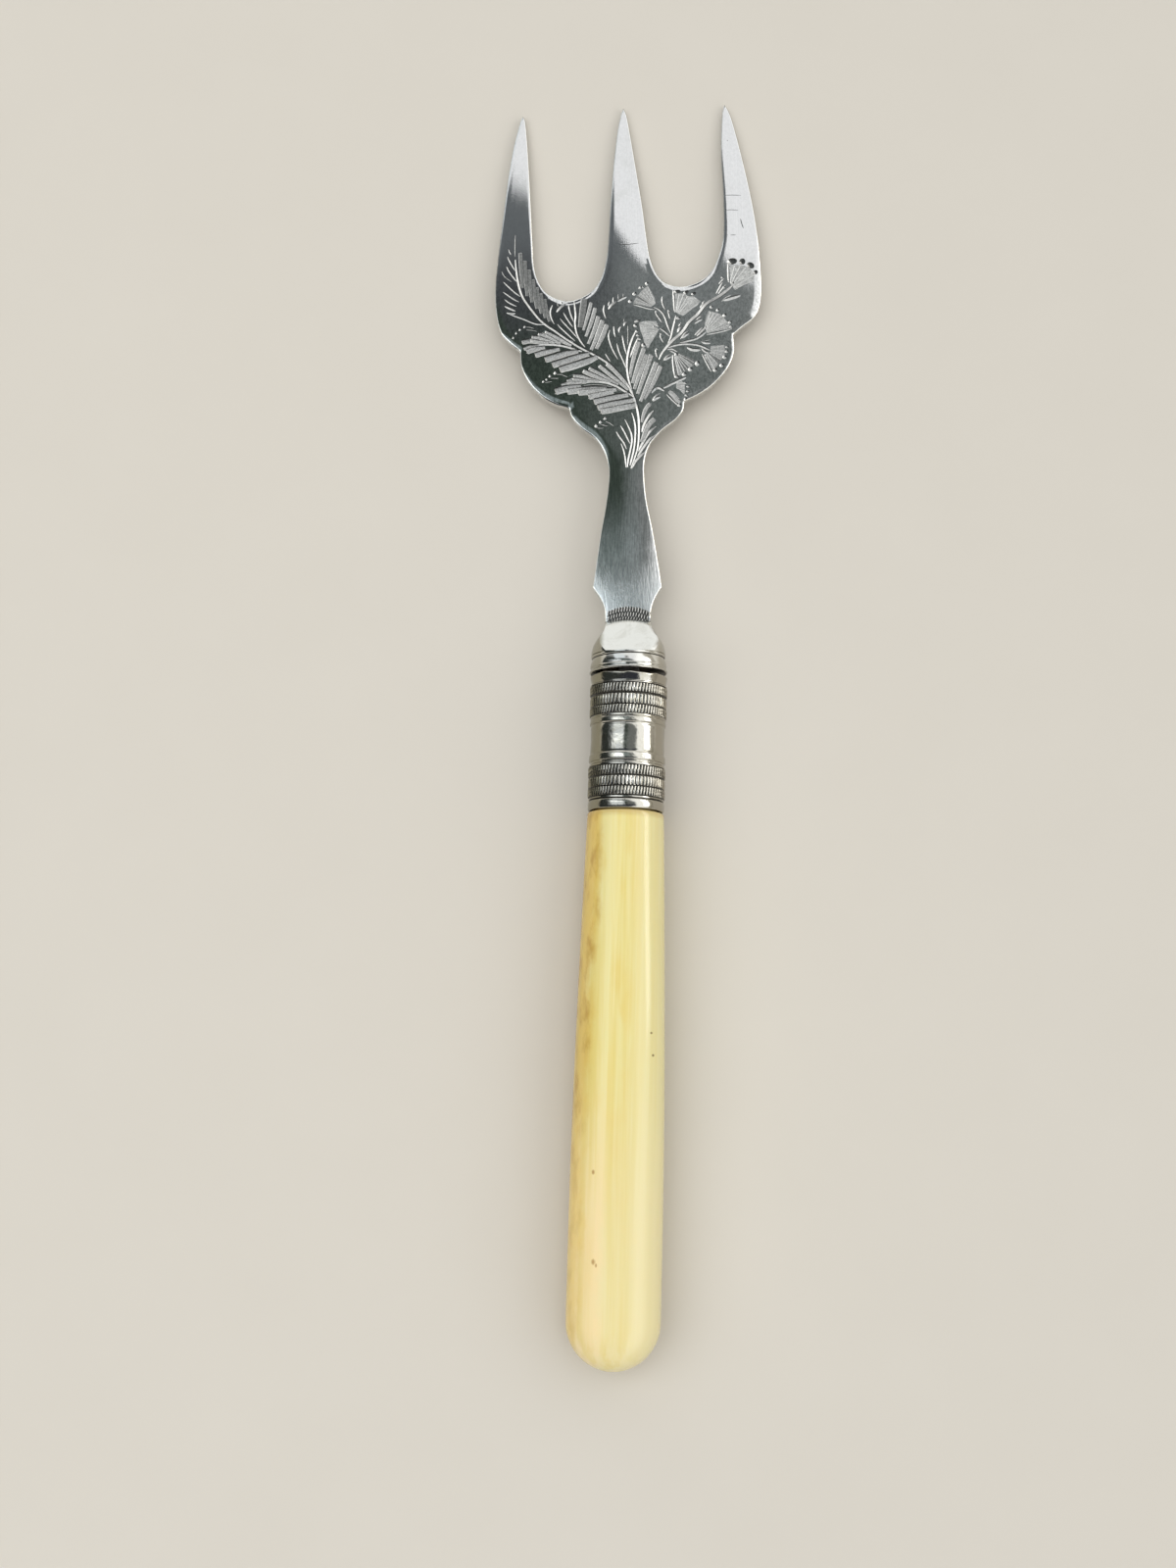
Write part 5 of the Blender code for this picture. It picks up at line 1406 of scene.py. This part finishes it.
def blend(factor, a, b):
    node = wt.nodes.new("ShaderNodeMix")
    node.data_type = "RGBA"
    wt.links.new(factor, node.inputs["Factor"])
    for key, v in (("A", a), ("B", b)):
        socket = [s for s in node.inputs if s.name == key and s.type == "RGBA"][0]
        if isinstance(v, tuple):
            socket.default_value = (*v, 1.0)
        else:
            wt.links.new(v, socket)
    return [s for s in node.outputs if s.type == "RGBA"][0]


def part(which):
    node = wt.nodes.new("ShaderNodeSeparateXYZ")
    wt.links.new(sky.outputs["Generated"], node.inputs[0])
    return node.outputs[which]


def times(a, b):
    node = wt.nodes.new("ShaderNodeMath")
    node.operation = "MULTIPLY"
    wt.links.new(a, node.inputs[0])
    wt.links.new(b, node.inputs[1])
    return node.outputs[0]


# a room with its windows to the north and east, a dark ceiling over the fork and a dark west wall
sky = wt.nodes.new("ShaderNodeTexCoord")
east, north, up = part(0), part(1), part(2)
far_north = blend(graded(north, 0.62, 0.95), (0.88, 0.88, 0.89), (0.96, 0.97, 0.95))
behind = blend(graded(north, -0.62, -0.82), (0.06, 0.064, 0.07), (0.62, 0.61, 0.59))
room = blend(graded(north, -0.25, 0.1), behind, far_north)
room = blend(graded(east, 0.12, 0.5), room, (1.25, 1.245, 1.22))
room = blend(times(graded(east, 0.2, 0.4), graded(up, 0.40, 0.33)), room, (0.42, 0.39, 0.33))
west = times(graded(east, -0.10, -0.42), times(graded(north, 0.85, 0.62), graded(north, -0.62, -0.38)))
room = blend(west, room, (0.035, 0.04, 0.037))
strip = times(graded(north, 0.42, 0.375), graded(north, 0.20, 0.25))
low_west = blend(strip, (0.043, 0.056, 0.046), (0.235, 0.275, 0.275))
low_east = blend(strip, (0.150, 0.166, 0.161), (0.335, 0.375, 0.385))
low_west = blend(graded(north, 0.465, 0.50), low_west, (0.058, 0.062, 0.066))
low_east = blend(graded(north, 0.465, 0.50), low_east, (0.19, 0.205, 0.205))
near = blend(graded(east, -0.015, 0.05), low_west, low_east)
near = blend(graded(east, 0.03, 0.13), near, (0.19, 0.20, 0.198))
near = blend(times(graded(east, 0.085, 0.17), graded(north, 0.44, 0.48)), near, (0.50, 0.51, 0.51))
near = blend(graded(north, 0.495, 0.545), near, (0.125, 0.135, 0.142))
near = blend(graded(north, 0.10, -0.06), near, (0.035, 0.038, 0.05))
for middle, wide in (((-9.8, 8.2), 27.0), ((7.0, -4.0), 23.0)):
    crisp, soft = (graded(toward(*middle), math.cos(math.radians(wide + k)), math.cos(math.radians(wide - k)))
                   for k in (0.1, 2.2))
    room = blend(blend(graded(east, 0.09, 0.13), crisp, soft), room, near)
for (a, b), (c, d), (e, f), (g, h) in (((-0.88, -0.60), (-0.36, -0.42), (-0.06, 0.01), (0.52, 0.46)),
                                       ((-0.42, -0.36), (-0.13, -0.20), (-0.06, 0.01), (0.30, 0.24)),
                                       ((-0.62, -0.56), (-0.16, -0.20), (0.54, 0.60), (0.82, 0.75))):
    patch = times(times(graded(east, a, b), graded(east, c, d)), times(graded(north, e, f), graded(north, g, h)))
    room = blend(patch, room, (0.80, 0.85, 0.89))
bright = times(times(graded(east, -0.80, -0.62), graded(east, -0.16, -0.22)),
               times(graded(north, 0.205, 0.235), graded(north, 0.35, 0.335)))
room = blend(bright, room, (1.9, 1.98, 2.0))
frame_bar = times(times(graded(east, -0.17, -0.15), graded(east, 0.01, -0.01)),
                  times(graded(north, 0.625, 0.64), graded(north, 0.74, 0.72)))
room = blend(frame_bar, room, (0.06, 0.064, 0.07))
wt.links.new(room, background.inputs["Color"])
background.inputs["Strength"].default_value = 1.0

gleam = soft_light("window_east", (62.5, 34), 1.5, (1.0, 0.42), 3.4, (1.0, 0.99, 0.96))
gleam.visible_diffuse = False  # a window seen in the gloss
fill = soft_light("fill_above", (-19, -6), 1.6, (1.6, 2.6), 1.75, (1.0, 0.99, 0.97))
fill.visible_glossy = False  # lifts the matt surfaces only

bpy.context.scene.view_settings.view_transform = "Standard"
